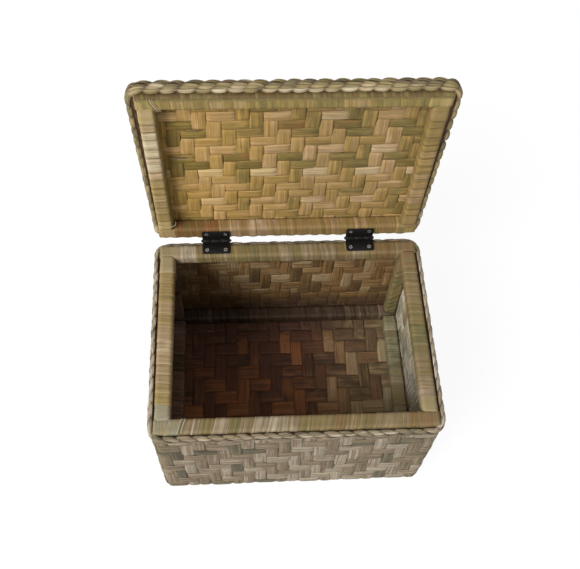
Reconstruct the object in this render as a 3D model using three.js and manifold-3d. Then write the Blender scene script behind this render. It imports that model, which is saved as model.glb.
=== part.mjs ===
// Woven lidded box: battens wound with leaf make the frame, twill mats clad it,
// plaited borders edge it, and the lid swings on two butt hinges.
// Millimetres, +Z up, front towards -Y, origin at the middle of the underside.

import * as THREE from 'three';
import { mergeVertices } from 'three/addons/utils/BufferGeometryUtils.js';
import Module from 'manifold-3d';

const wasm = await Module();
wasm.setup();

// Frame
const frameWidth = 320;
const frameDepth = 248;
const rimHeight = 186;
const frameCorner = 6;
const fit = 0.3;

// Wound rails and posts
const railWidth = 19;
const railThick = 17;
const postWidth = 17;
const leafThick = 1.7;
const leafLap = 0.6;
const leafPitch = 26;
const edgeEase = 4;
const spareTurns = 4;

// Twill mats
const stakePitch = 14.6;
const weaverPitch = 13.1;
const matThick = 2.6;
const floatCrown = 1.2;
const padStep = 0.1;

// Plaited borders
const braidDepth = 6.5;
const rimBraidHeight = 12;
const rimBraidDrop = 1.5;
const lidBraidHeight = 16;
const lidBraidDrop = 4;
const braidSides = 10;
const braidCornerSteps = 4;

// Hinges
const hingeSpacing = 180;
const leafLength = 34.5;
const leafReach = 18.5;
const leafPlate = 1.2;
const leafCorner = 2;
const closedLeafGap = 1;
const pinBehindFrame = 3.2;
const pinRadius = 1.2;
const knuckleRadius = 2.5;
const middleKnuckle = 12;
const pinHeadRadius = 1.9;
const pinHeadThick = 1.4;
const headFlat = 0.6;
const roundSides = 12;
const lidOpenAngle = Math.PI / 2;

// Screws
const screwSpacing = 23;
const screwFromPin = 12.8;
const screwHeadRadius = 2.5;
const screwShankRadius = 1.3;
const screwLength = 11;
const screwTip = 2.5;
const screwDome = 0.2;
const screwSides = 8;

// Sizes that follow from those above
const pinAboveRim = fit + leafPlate + closedLeafGap / 2;
const leafTop = -closedLeafGap / 2;
const baseRailZ = matThick + fit + railThick / 2;
const rimRailZ = rimHeight - railThick / 2;
const postBottom = baseRailZ + railThick / 2 + fit;
const postTop = rimRailZ - railThick / 2 - fit;
const sideRailLength = frameDepth - 2 * (railWidth + fit);
const wallTop = rimHeight - rimBraidDrop - rimBraidHeight - fit;
const cutMargin = 5;
const trimMargin = 1;
const cornerTuck = frameCorner * (1 - Math.SQRT1_2);

const materials = {
  wood: new THREE.MeshStandardMaterial({ color: 0xc8a878, roughness: 0.8, metalness: 0 }),
  wound: new THREE.MeshStandardMaterial({ color: 0xb39470, roughness: 0.7, metalness: 0 }),
  mat: new THREE.MeshStandardMaterial({ color: 0xa58a68, roughness: 0.75, metalness: 0 }),
  braid: new THREE.MeshStandardMaterial({ color: 0xa39a86, roughness: 0.8, metalness: 0 }),
  black: new THREE.MeshStandardMaterial({ color: 0x17171a, roughness: 0.45, metalness: 0.4 }),
  steel: new THREE.MeshStandardMaterial({ color: 0xb4b4b2, roughness: 0.35, metalness: 1 }),
};

// Solids for cutting and joining
function toSolid(geometry) {
  const bare = geometry.clone();
  bare.deleteAttribute('normal');
  bare.deleteAttribute('uv');
  const merged = mergeVertices(bare, 1e-4);
  const mesh = new wasm.Mesh({
    numProp: 3,
    vertProperties: Float32Array.from(merged.attributes.position.array),
    triVerts: Uint32Array.from(merged.index.array),
  });
  return new wasm.Manifold(mesh);
}

function toGeometry(solid) {
  const mesh = solid.getMesh();
  const geometry = new THREE.BufferGeometry();
  geometry.setAttribute('position', new THREE.BufferAttribute(mesh.vertProperties.slice(), 3));
  geometry.setIndex(new THREE.BufferAttribute(mesh.triVerts.slice(), 1));
  geometry.computeVertexNormals();
  return geometry;
}

function facets(points, triangles) {
  const geometry = new THREE.BufferGeometry();
  geometry.setAttribute('position', new THREE.Float32BufferAttribute(points.flat(), 3));
  geometry.setIndex(triangles.flat());
  geometry.computeVertexNormals();
  return geometry;
}

function block(x, y, z) {
  return new THREE.BoxGeometry(x, y, z);
}

function prism(shape, height) {
  const geometry = new THREE.ExtrudeGeometry(shape, {
    depth: height,
    bevelEnabled: false,
    curveSegments: braidCornerSteps,
  });
  return geometry.translate(0, 0, -height / 2);
}

// A rectangle centred on the origin; front and back corners are rounded by their own radii
function roundedRectangle(width, depth, frontRadius, backRadius) {
  const x = width / 2;
  const y = depth / 2;
  const shape = new THREE.Shape();
  const corner = (cx, cy, radius, start) => {
    if (radius > 0) {
      shape.absarc(cx, cy, radius, start, start + Math.PI / 2, false);
    } else {
      shape.lineTo(cx, cy);
    }
  };
  shape.moveTo(x, 0);
  corner(x - backRadius, y - backRadius, backRadius, 0);
  corner(-x + backRadius, y - backRadius, backRadius, Math.PI / 2);
  corner(-x + frontRadius, -y + frontRadius, frontRadius, Math.PI);
  corner(x - frontRadius, -y + frontRadius, frontRadius, 1.5 * Math.PI);
  shape.closePath();
  return shape;
}

// The section of a wound bar: a rectangle in Y and Z with eased edges, anticlockwise about +X
function easedSection(width, thick) {
  const y = width / 2;
  const z = thick / 2;
  const e = edgeEase;
  return [
    [y - e, -z], [y, e - z], [y, z - e], [y - e, z],
    [e - y, z], [-y, z - e], [-y, e - z], [e - y, -z],
  ];
}

// A bar along X wound with one unbroken ribbon of leaf: each turn rises from under the turn before it
// to its own free edge and steps down onto the next, so the laps run round the bar as a helix
function woundBar(length, width, thick) {
  const low = easedSection(width - 2 * leafLap, thick - 2 * leafLap);
  const high = easedSection(width, thick);
  const sides = low.length;
  const turns = Math.ceil(length / leafPitch) + spareTurns;
  const steps = turns * sides;
  const start = -(turns * leafPitch) / 2 - leafPitch / 2;
  const points = [];
  for (let m = 0; m <= steps; m += 1) {
    const x = start + (leafPitch * m) / sides;
    points.push([x, ...low[m % sides]], [x + leafPitch, ...high[m % sides]]);
  }
  const tucked = (m) => 2 * m;
  const free = (m) => 2 * m + 1;
  const triangles = [];
  for (let m = 0; m < steps; m += 1) {
    triangles.push([tucked(m), tucked(m + 1), free(m + 1)], [tucked(m), free(m + 1), free(m)]);
    if (m + sides < steps) {
      const below = m + sides;
      triangles.push([free(m), free(m + 1), tucked(below + 1)], [free(m), tucked(below + 1), tucked(below)]);
    }
  }
  const first = points.push([start - leafPitch, 0, 0]) - 1;
  const last = points.push([start + (turns + spareTurns) * leafPitch, 0, 0]) - 1;
  for (let m = 0; m < sides; m += 1) {
    const end = steps - sides + m;
    triangles.push([tucked(m + 1), tucked(m), first], [free(end), free(end + 1), last]);
  }
  triangles.push([free(0), tucked(sides), first], [tucked(0), free(0), first]);
  triangles.push([free(steps), tucked(steps), last], [tucked(steps), free(steps - sides), last]);
  return facets(points, triangles);
}

// A bar along X with the same eased section and no leaf on it
function plainBar(length, width, thick) {
  const shape = new THREE.Shape(easedSection(width, thick).map(([y, z]) => new THREE.Vector2(y, z)));
  const bar = prism(shape, length);
  return bar.rotateX(Math.PI / 2).rotateZ(Math.PI / 2);
}

// One wound member along X, its outer side towards -Y and its hinge face towards +Z.
// Returns the batten and the sleeve of leaf round it; holes are drilled from the hinge face.
function woundMember({ length, width, thick, endRadius = 0, holes = [] }) {
  const plan = roundedRectangle(length, width + 2 * trimMargin, endRadius, 0);
  const trim = toSolid(prism(plan, thick + cutMargin));
  const boreWidth = width - 2 * leafThick;
  const boreThick = thick - 2 * leafThick;
  let sleeve = toSolid(woundBar(length, width, thick)).intersect(trim);
  sleeve = sleeve.subtract(toSolid(plainBar(length + cutMargin, boreWidth, boreThick)));
  let batten = toSolid(plainBar(length, boreWidth - 2 * fit, boreThick - 2 * fit)).intersect(trim);
  for (const [x, y] of holes) {
    const drill = new THREE.CylinderGeometry(
      screwShankRadius + fit, screwShankRadius + fit, screwLength + cutMargin, screwSides,
    );
    drill.rotateX(Math.PI / 2);
    drill.translate(x, y, thick / 2 - (screwLength + fit) + (screwLength + cutMargin) / 2);
    sleeve = sleeve.subtract(toSolid(drill));
    batten = batten.subtract(toSolid(drill));
  }
  return { batten: toGeometry(batten), winding: toGeometry(sleeve) };
}

// The raised side of a twill mat in X and Y: every strip floats over two and under two, and each row
// starts one strip further on. A float is a low pillow that spans two crossings; its corners lie at z.
function twillFace(width, height, z, weaverOnTop, tuck) {
  const columns = Math.max(2, Math.round(width / stakePitch));
  const rows = Math.max(2, Math.round(height / weaverPitch));
  const points = [];
  const triangles = [];
  const corner = (i, j) => j * (columns + 1) + i;
  for (let j = 0; j <= rows; j += 1) {
    for (let i = 0; i <= columns; i += 1) {
      const inset = i % columns === 0 && j % rows === 0 ? tuck : 0;
      points.push([(i / columns - 0.5) * (width - 2 * inset), (j / rows - 0.5) * (height - 2 * inset), z]);
    }
  }
  const pillow = (i, j, across, up) => {
    const loop = [];
    for (let k = 0; k < across; k += 1) loop.push(corner(i + k, j));
    for (let k = 0; k < up; k += 1) loop.push(corner(i + across, j + k));
    for (let k = 0; k < across; k += 1) loop.push(corner(i + across - k, j + up));
    for (let k = 0; k < up; k += 1) loop.push(corner(i, j + up - k));
    const x = ((i + across / 2) / columns - 0.5) * width;
    const y = ((j + up / 2) / rows - 0.5) * height;
    const crown = points.push([x, y, z + floatCrown]) - 1;
    loop.forEach((from, k) => triangles.push([from, loop[(k + 1) % loop.length], crown]));
  };
  const covered = new Set();
  for (let j = 0; j < rows; j += 1) {
    for (let i = 0; i < columns; i += 1) {
      if (covered.has(corner(i, j))) continue;
      const phase = (((i + j) % 4) + (weaverOnTop ? 0 : 2)) % 4;
      const across = phase === 0 && i + 1 < columns ? 2 : 1;
      const up = phase === 2 && j + 1 < rows ? 2 : 1;
      covered.add(corner(i + across - 1, j + up - 1));
      pillow(i, j, across, up);
    }
  }
  return { points, triangles, columns, rows, corner };
}

// A slab closed under a twill face, with its flat side at z = 0
function twillSlab(width, height, thick, weaverOnTop = true, tuck = 0) {
  const { points, triangles, columns, rows, corner } = twillFace(width, height, thick, weaverOnTop, tuck);
  const x = width / 2 - tuck;
  const y = height / 2 - tuck;
  const foot = [[-x, -y], [x, -y], [x, y], [-x, y]].map((p) => points.push([...p, 0]) - 1);
  const edges = [
    Array.from({ length: columns + 1 }, (_, i) => corner(i, 0)),
    Array.from({ length: rows + 1 }, (_, j) => corner(columns, j)),
    Array.from({ length: columns + 1 }, (_, i) => corner(columns - i, rows)),
    Array.from({ length: rows + 1 }, (_, j) => corner(0, rows - j)),
  ];
  edges.forEach((edge, side) => {
    const from = foot[side];
    const to = foot[(side + 1) % edges.length];
    triangles.push([from, to, edge[edge.length - 1]]);
    for (let k = 0; k + 1 < edge.length; k += 1) triangles.push([edge[k + 1], edge[k], from]);
  });
  triangles.push([foot[0], foot[2], foot[1]], [foot[0], foot[3], foot[2]]);
  return facets(points, triangles);
}

// A wall's mat, its outer face towards +Z and its upright edges rounded by the radius
function wallMat(width, height, radius) {
  if (radius === 0) return twillSlab(width, height, matThick);
  const plan = roundedRectangle(width, 2 * (matThick + floatCrown), 0, radius);
  const outline = prism(plan, height + cutMargin).rotateX(Math.PI / 2);
  const slab = twillSlab(width + 2 * trimMargin, height, matThick);
  return toGeometry(toSolid(slab).intersect(toSolid(outline)));
}

// The mat of the floor or the lid, its outer face towards +Z. The inner face stands out between the
// rails, where it shows; the outer one is raised on the lid and flat under the floor.
function panelMat(raisedOutside) {
  const plan = roundedRectangle(frameWidth, frameDepth, frameCorner, frameCorner);
  const sheet = raisedOutside
    ? twillSlab(frameWidth, frameDepth, matThick, true, cornerTuck)
    : prism(plan, matThick).translate(0, 0, matThick / 2);
  const innerWidth = frameWidth - 2 * (railWidth + fit);
  const innerDepth = frameDepth - 2 * (railWidth + fit);
  const pad = twillSlab(innerWidth, innerDepth, matThick / 2 + padStep, false);
  pad.rotateY(Math.PI);
  pad.translate(0, 0, matThick / 2);
  return toGeometry(toSolid(sheet).add(toSolid(pad)));
}

// The plaited border: a rounded section carried round a rectangle with rounded corners.
// innerWidth, innerDepth and innerRadius are those of what it goes round; z = 0 is its middle.
function braidRing(innerWidth, innerDepth, innerRadius, height) {
  const half = braidDepth / 2;
  const radius = innerRadius + half;
  const x = innerWidth / 2 - innerRadius;
  const y = innerDepth / 2 - innerRadius;
  const centres = [[x, y], [-x, y], [-x, -y], [x, -y]];
  const stations = [];
  centres.forEach(([cx, cy], quarter) => {
    for (let k = 0; k <= braidCornerSteps; k += 1) {
      const angle = (quarter + k / braidCornerSteps) * (Math.PI / 2);
      stations.push([cx, cy, Math.cos(angle), Math.sin(angle)]);
    }
  });
  const points = [];
  const triangles = [];
  stations.forEach(([cx, cy, nx, ny]) => {
    for (let k = 0; k < braidSides; k += 1) {
      const turn = ((k + 0.5) / braidSides) * 2 * Math.PI;
      const out = radius + half * Math.cos(turn);
      points.push([cx + nx * out, cy + ny * out, (height / 2) * Math.sin(turn)]);
    }
  });
  const at = (s, k) => (s % stations.length) * braidSides + (k % braidSides);
  for (let s = 0; s < stations.length; s += 1) {
    for (let k = 0; k < braidSides; k += 1) {
      triangles.push([at(s, k), at(s + 1, k), at(s + 1, k + 1)], [at(s, k), at(s + 1, k + 1), at(s, k + 1)]);
    }
  }
  return facets(points, triangles);
}

// A rod along X from x0 to x1
function rod(radius, x0, x1) {
  const geometry = new THREE.CylinderGeometry(radius, radius, x1 - x0, roundSides);
  geometry.rotateZ(-Math.PI / 2);
  return geometry.translate((x0 + x1) / 2, 0, 0);
}

// A hinge leaf with the pin on the X axis: its plate lies below the pin and reaches towards -Y.
// The knuckles are given as [x0, x1] spans; the screw holes are sunk from above.
function hingeLeaf(knuckles) {
  const bend = knuckleRadius + 2 * fit;
  const plateDepth = leafReach - bend;
  const plate = prism(roundedRectangle(leafLength, plateDepth, leafCorner, 0), leafPlate);
  plate.translate(0, -bend - plateDepth / 2, leafTop - leafPlate / 2);
  let leaf = toSolid(plate);
  for (const [x0, x1] of knuckles) {
    const tab = block(x1 - x0, bend + fit, leafPlate);
    tab.translate((x0 + x1) / 2, -(bend + fit) / 2, leafTop - leafPlate / 2);
    leaf = leaf.add(toSolid(tab)).add(toSolid(rod(knuckleRadius, x0, x1)));
  }
  leaf = leaf.subtract(toSolid(rod(pinRadius + fit, -leafLength, leafLength)));
  const sink = new THREE.LatheGeometry([
    new THREE.Vector2(0, leafTop - leafPlate - cutMargin),
    new THREE.Vector2(screwShankRadius + fit, leafTop - leafPlate - cutMargin),
    new THREE.Vector2(screwShankRadius + fit, leafTop - leafPlate),
    new THREE.Vector2(screwHeadRadius + fit, leafTop),
    new THREE.Vector2(screwHeadRadius + fit, leafTop + cutMargin),
    new THREE.Vector2(0, leafTop + cutMargin),
  ], screwSides);
  sink.rotateX(Math.PI / 2);
  for (const side of [-1, 1]) {
    const hole = sink.clone().translate((side * screwSpacing) / 2, -screwFromPin, 0);
    leaf = leaf.subtract(toSolid(hole));
  }
  return toGeometry(leaf);
}

// A hinge pin along X with a low rounded head at each end of the barrel
function hingePin() {
  const end = leafLength / 2 + fit;
  const profile = [
    new THREE.Vector2(0, -end - pinHeadThick),
    new THREE.Vector2(pinHeadRadius * headFlat, -end - pinHeadThick),
    new THREE.Vector2(pinHeadRadius, -end - pinHeadThick / 2),
    new THREE.Vector2(pinHeadRadius, -end),
    new THREE.Vector2(pinRadius, -end),
    new THREE.Vector2(pinRadius, end),
    new THREE.Vector2(pinHeadRadius, end),
    new THREE.Vector2(pinHeadRadius, end + pinHeadThick / 2),
    new THREE.Vector2(pinHeadRadius * headFlat, end + pinHeadThick),
    new THREE.Vector2(0, end + pinHeadThick),
  ];
  return new THREE.LatheGeometry(profile, roundSides).rotateZ(-Math.PI / 2);
}

// A countersunk wood screw; z = 0 is the top of the plate that it holds
function woodScrew() {
  const profile = [
    new THREE.Vector2(0, -screwLength),
    new THREE.Vector2(screwShankRadius, -screwLength + screwTip),
    new THREE.Vector2(screwShankRadius, -leafPlate),
    new THREE.Vector2(screwHeadRadius, 0),
    new THREE.Vector2(screwHeadRadius * headFlat, screwDome),
    new THREE.Vector2(0, screwDome),
  ];
  return new THREE.LatheGeometry(profile, screwSides).rotateX(Math.PI / 2);
}

function named(name, geometry, material) {
  const mesh = new THREE.Mesh(geometry, material);
  mesh.name = name;
  return mesh;
}

// Adds a batten and its winding to a group, both at the same place
function addMember(group, prefix, place, size, position, rotation) {
  const { batten, winding } = woundMember(size);
  const pieces = [
    named(`${prefix}_batten_${place}`, batten, materials.wood),
    named(`${prefix}_winding_${place}`, winding, materials.wound),
  ];
  for (const piece of pieces) {
    piece.position.set(...position);
    piece.rotation.set(...rotation);
    group.add(piece);
  }
}

// Four rails round the frame, with z the height of their middle. faceDown turns the hinge face under,
// for the lid. The long rails run through and the side rails butt between them.
function addRails(group, prefix, z, holes, faceDown) {
  const long = { length: frameWidth, width: railWidth, thick: railThick, endRadius: frameCorner + 2 * trimMargin };
  const side = { length: sideRailLength, width: railWidth, thick: railThick };
  const x = (frameWidth - railWidth) / 2;
  const y = (frameDepth - railWidth) / 2;
  const half = Math.PI / 2;
  const frontTurn = faceDown ? [0, Math.PI, 0] : [0, 0, 0];
  const backTurn = faceDown ? [Math.PI, 0, 0] : [0, 0, Math.PI];
  addMember(group, prefix, 'front', long, [0, -y, z], frontTurn);
  addMember(group, prefix, 'back', { ...long, holes }, [0, y, z], backTurn);
  addMember(group, prefix, 'left', side, [-x, 0, z], [0, 0, -half]);
  addMember(group, prefix, 'right', side, [x, 0, z], [0, 0, half]);
}

// Screw places on a back rail, measured in the rail's own frame
const hingePlaces = { left: -hingeSpacing / 2, right: hingeSpacing / 2 };
const screwHoles = Object.values(hingePlaces).flatMap((x) => [-1, 1].map((side) => [
  x + (side * screwSpacing) / 2,
  screwFromPin - pinBehindFrame - railWidth / 2,
]));

function addPosts(group) {
  const size = { length: postTop - postBottom, width: postWidth, thick: postWidth };
  const x = (frameWidth - postWidth) / 2;
  const y = (frameDepth - postWidth) / 2;
  const z = (postTop + postBottom) / 2;
  const places = {
    front_left: [-x, -y, z],
    front_right: [x, -y, z],
    back_left: [-x, y, z],
    back_right: [x, y, z],
  };
  for (const [place, position] of Object.entries(places)) {
    addMember(group, 'post', place, size, position, [0, -Math.PI / 2, 0]);
  }
}

// The wall mats stand outside the frame: front and back lap the ends of the side mats
function addWalls(group) {
  const round = matThick + floatCrown;
  const long = { width: frameWidth + 2 * (fit + matThick), round, out: frameDepth / 2 + fit };
  const side = { width: frameDepth, round: 0, out: frameWidth / 2 + fit };
  const walls = {
    front: { ...long, turn: 0 },
    right: { ...side, turn: Math.PI / 2 },
    back: { ...long, turn: Math.PI },
    left: { ...side, turn: -Math.PI / 2 },
  };
  for (const [place, { width, round, out, turn }] of Object.entries(walls)) {
    const wall = named(`wall_mat_${place}`, wallMat(width, wallTop, round), materials.mat);
    wall.rotation.set(Math.PI / 2, 0, turn, 'ZYX');
    wall.position.set(out * Math.sin(turn), -out * Math.cos(turn), wallTop / 2);
    group.add(wall);
  }
}

function frameBraid(height) {
  return braidRing(frameWidth + 2 * fit, frameDepth + 2 * fit, frameCorner + fit, height);
}

// Half a hinge in the pin's frame: its leaf and two screws. The lid's half is turned over.
function addHingeHalf(group, owner, place, knuckles, turnedOver) {
  const half = new THREE.Group();
  half.position.x = hingePlaces[place];
  half.rotation.y = turnedOver ? Math.PI : 0;
  half.add(named(`hinge_leaf_${owner}_${place}`, hingeLeaf(knuckles), materials.black));
  [-1, 1].forEach((side, index) => {
    const screw = named(`screw_${owner}_${place}_${index + 1}`, woodScrew(), materials.steel);
    screw.position.set((side * screwSpacing) / 2, -screwFromPin, leafTop);
    half.add(screw);
  });
  group.add(half);
}

function makeBox() {
  const box = new THREE.Group();
  addRails(box, 'base', baseRailZ, [], false);
  addPosts(box);
  addRails(box, 'rim', rimRailZ, screwHoles, false);
  addWalls(box);
  const floor = named('floor_mat', panelMat(false), materials.mat);
  floor.rotation.x = Math.PI;
  floor.position.z = matThick;
  box.add(floor);
  const braid = named('rim_braid', frameBraid(rimBraidHeight), materials.braid);
  braid.position.z = rimHeight - rimBraidDrop - rimBraidHeight / 2;
  box.add(braid);
  const barrel = new THREE.Group();
  barrel.position.set(0, frameDepth / 2 + pinBehindFrame, rimHeight + pinAboveRim);
  const inner = middleKnuckle / 2 + fit;
  const outer = leafLength / 2;
  for (const place of Object.keys(hingePlaces)) {
    addHingeHalf(barrel, 'box', place, [[-outer, -inner], [inner, outer]], false);
    const pin = named(`hinge_pin_${place}`, hingePin(), materials.black);
    pin.position.x = hingePlaces[place];
    barrel.add(pin);
  }
  box.add(barrel);
  return box;
}

// The lid is built closed about the hinge pins and swung open; its frame starts at its underside
function makeLid() {
  const lid = new THREE.Group();
  const panel = new THREE.Group();
  panel.position.set(0, -pinBehindFrame - frameDepth / 2, pinAboveRim);
  addRails(panel, 'lid', railThick / 2, screwHoles, true);
  const mat = named('lid_mat', panelMat(true), materials.mat);
  mat.position.z = railThick + fit;
  panel.add(mat);
  const braid = named('lid_braid', frameBraid(lidBraidHeight), materials.braid);
  braid.position.z = lidBraidDrop + lidBraidHeight / 2;
  panel.add(braid);
  lid.add(panel);
  for (const place of Object.keys(hingePlaces)) {
    addHingeHalf(lid, 'lid', place, [[-middleKnuckle / 2, middleKnuckle / 2]], true);
  }
  lid.position.set(0, frameDepth / 2 + pinBehindFrame, rimHeight + pinAboveRim);
  lid.rotation.x = -lidOpenAngle;
  return lid;
}

const wovenBox = new THREE.Group();
wovenBox.add(makeBox(), makeLid());

export default wovenBox;
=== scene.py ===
# %% [markdown]
# # A woven box with a hinged lid
# The real box is a light frame of battens. Each batten is wound with flat leaf, the frame is clad
# with twill mats of the same leaf, and a plait hides every cut edge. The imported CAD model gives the
# place and size of each member. Here the soft members are made again, strip by strip, because a
# woven thing only looks woven where one strip really passes over the next.

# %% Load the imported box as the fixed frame
import bpy
import numpy as np
from mathutils import Matrix, Vector


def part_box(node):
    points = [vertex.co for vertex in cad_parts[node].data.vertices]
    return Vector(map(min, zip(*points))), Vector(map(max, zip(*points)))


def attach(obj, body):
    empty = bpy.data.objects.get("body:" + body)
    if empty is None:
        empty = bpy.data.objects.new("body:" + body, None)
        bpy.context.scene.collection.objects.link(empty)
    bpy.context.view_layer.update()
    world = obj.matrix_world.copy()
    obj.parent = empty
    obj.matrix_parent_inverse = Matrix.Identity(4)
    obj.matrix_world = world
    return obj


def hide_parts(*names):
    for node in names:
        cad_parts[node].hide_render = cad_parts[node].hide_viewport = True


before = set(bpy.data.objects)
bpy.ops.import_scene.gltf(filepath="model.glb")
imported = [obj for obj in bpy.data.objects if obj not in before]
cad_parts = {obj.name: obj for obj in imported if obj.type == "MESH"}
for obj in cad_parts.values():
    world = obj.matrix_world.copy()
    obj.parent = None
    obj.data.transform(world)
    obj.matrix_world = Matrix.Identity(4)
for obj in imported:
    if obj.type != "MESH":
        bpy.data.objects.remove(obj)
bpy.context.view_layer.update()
MM = 0.001
X, Y, Z = 0, 1, 2

# %% [markdown]
# ## From grids of points to a piece
# Every soft member is a closed section carried along a path, so one helper joins the points of such
# grids with quads. Blender could loft curves instead, but whole arrays are quick, and each point can
# carry its own place on the leaf: how far along, how far across, which tint, and how much of a second
# look. The finishes read these numbers, so the fibres follow each strip wherever it goes.

# %% Join a grid of sections with quads
def loft(grid, loop):
    """Quads over grid[strip, row, column]. Columns close into a section and rows run along the strip.
    An open strip is closed at each end by a ladder of quads between its two halves."""
    strips, rows, columns, _ = grid.shape
    index = np.arange(strips * rows * columns).reshape(strips, rows, columns)
    run = np.concatenate([index, index[:, :1]], axis=1) if loop else index
    ring = np.concatenate([run, run[:, :, :1]], axis=2)
    corners = [ring[:, :-1, :-1], ring[:, :-1, 1:], ring[:, 1:, 1:], ring[:, 1:, :-1]]
    quads = np.stack(corners, axis=-1).reshape(-1, 4)
    if not loop:
        rung = np.arange(columns // 2 - 1)
        ladder = np.stack([rung, rung + 1, columns - 2 - rung, columns - 1 - rung], axis=-1)
        first = index[:, 0][:, ladder[:, ::-1]].reshape(-1, 4)
        last = index[:, -1][:, ladder].reshape(-1, 4)
        quads = np.concatenate([quads, first, last])
    return quads


def facing_out(points, quads):
    """The same quads, turned over if the volume they enclose comes out negative."""
    a, b, c, d = (points[quads[:, corner]] for corner in range(4))
    volume = np.sum(a * np.cross(b, c)) + np.sum(a * np.cross(c, d))
    return quads if volume > 0 else quads[:, ::-1]


# %% Mark the points and make one named piece from several lofts
TINT, SECOND = 2, 3


def leaf_marks(along, across, tint, second=0.0):
    """Mm along the strip, -1 to 1 across it, its tint, and from 0 to 1 how far it has its second look:
    the inner face of a wall, with its painted shade and light, a part of a mat with painted light, a
    band of painted shade on a rail, the painted shade of a plait strip's ends, or a smooth patch on a corner."""
    return np.stack(np.broadcast_arrays(along, across, tint, second), axis=-1)


def linked(name, data):
    """A new object in the scene with this mesh, lamp or camera."""
    made = bpy.data.objects.new(name, data)
    bpy.context.scene.collection.objects.link(made)
    return made


def piece(name, body, nodes, lofts, finish):
    """One mesh object from lofts of (grid in mm, marks, loop); see leaf_marks for the marks."""
    points, quads, marks = [], [], []
    start = 0
    for grid, mark, loop in lofts:
        flat = grid.reshape(-1, 3)
        points.append(flat * MM)
        marks.append(np.broadcast_to(mark, (*grid.shape[:3], 4)).reshape(-1, 4))
        quads.append(facing_out(flat - flat.mean(axis=0), loft(grid, loop)) + start)
        start += len(flat)
    points, quads, marks = (np.concatenate(each) for each in (points, quads, marks))
    mesh = bpy.data.meshes.new(name)
    mesh.vertices.add(len(points))
    mesh.vertices.foreach_set("co", points.astype(np.float32).ravel())
    mesh.loops.add(quads.size)
    mesh.loops.foreach_set("vertex_index", quads.astype(np.int32).ravel())
    mesh.polygons.add(len(quads))
    mesh.polygons.foreach_set("loop_start", np.arange(0, quads.size, 4, dtype=np.int32))
    mesh.polygons.foreach_set("use_smooth", np.ones(len(quads), dtype=bool))
    mesh.update(calc_edges=True)
    leaf = mesh.attributes.new("leaf", "FLOAT_VECTOR", "POINT")
    leaf.data.foreach_set("vector", marks[:, :3].astype(np.float32).ravel())
    second = mesh.attributes.new("second_look", "FLOAT", "POINT")
    second.data.foreach_set("value", marks[:, SECOND].astype(np.float32))
    mesh.materials.append(finish)
    made = linked(name, mesh)
    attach(made, body)
    if nodes:
        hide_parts(*nodes)
    print(name, "on", body, 2 * len(quads), "triangles")


# %% Read a place from the CAD
def cad(node):
    """Lowest and highest corner of a CAD node at rest, in mm."""
    low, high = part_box(node)
    return np.array(low) / MM, np.array(high) / MM


# %% [markdown]
# ## Leaf finish
# Dried leaf is a flat ribbon with straight fibres along it. Each strip has its own tint, from green
# and olive through straw to pink and rust, with paler streaks, darker blotches and worn, browner
# edges. An image texture would show none of this at the right place on a strip, so the colour is
# worked out from the numbers that each point carries.

# %% A short way to add shader nodes
def add(tree, kind, inputs, **settings):
    """A node with its properties set; inputs are values, or outputs of other nodes to link."""
    made = tree.nodes.new("ShaderNode" + kind)
    for key, value in settings.items():
        setattr(made, key, value)
    for key, value in inputs.items():
        if isinstance(value, bpy.types.NodeSocket):
            tree.links.new(value, made.inputs[key])
        else:
            made.inputs[key].default_value = value
    return made


def new_finish(name):
    """An empty material and its node tree."""
    finish = bpy.data.materials.new(name)
    finish.use_nodes = True
    finish.node_tree.nodes.clear()
    return finish, finish.node_tree


# %% Ramps, ranges, noise and bumps
def tint_ramp(tree, factor, tints):
    """A colour ramp through (position, colour) pairs."""
    made = add(tree, "ValToRGB", {"Fac": factor})
    ramp = made.color_ramp
    for place, colour in tints[1:-1]:
        ramp.elements.new(place)
    for element, (place, colour) in zip(ramp.elements, tints):
        element.position = place
        element.color = (*colour, 1)
    return made.outputs["Color"]


noise_low, noise_high = 0.3, 0.7


def spread(tree, value, to_low, to_high, low=noise_low, high=noise_high):
    """A value between low and high, where nearly all of a noise lies, moved to another range."""
    sockets = {"Value": value, "From Min": low, "From Max": high, "To Min": to_low, "To Max": to_high}
    return add(tree, "MapRange", sockets).outputs["Result"]


def surface(tree, sockets):
    """The one shader of a finish, joined to its output."""
    shader = add(tree, "BsdfPrincipled", sockets)
    add(tree, "OutputMaterial", {"Surface": shader.outputs[0]})


def stretched_noise(tree, place, stretch, detail, rough):
    """Noise over a place whose three numbers are each multiplied first."""
    lie = add(tree, "VectorMath", {0: place, 1: stretch}, operation="MULTIPLY").outputs[0]
    sockets = {"Vector": lie, "Scale": 1.0, "Detail": detail, "Roughness": rough}
    return add(tree, "TexNoise", sockets).outputs["Fac"]


def bumped(tree, height, strength, distance):
    """The normals of a surface that rises with height, by distance in metres at full strength."""
    return add(tree, "Bump", {"Height": height, "Strength": strength, "Distance": distance}).outputs[0]


# %% The leaf finish itself
blotch_shift, pit_range = 0.13, (0.33, 0.47)
bump_strength, bump_height = 0.7, 0.0006
dull_rough, shiny_rough, leaf_gloss = 0.76, 0.54, 0.3


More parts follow.
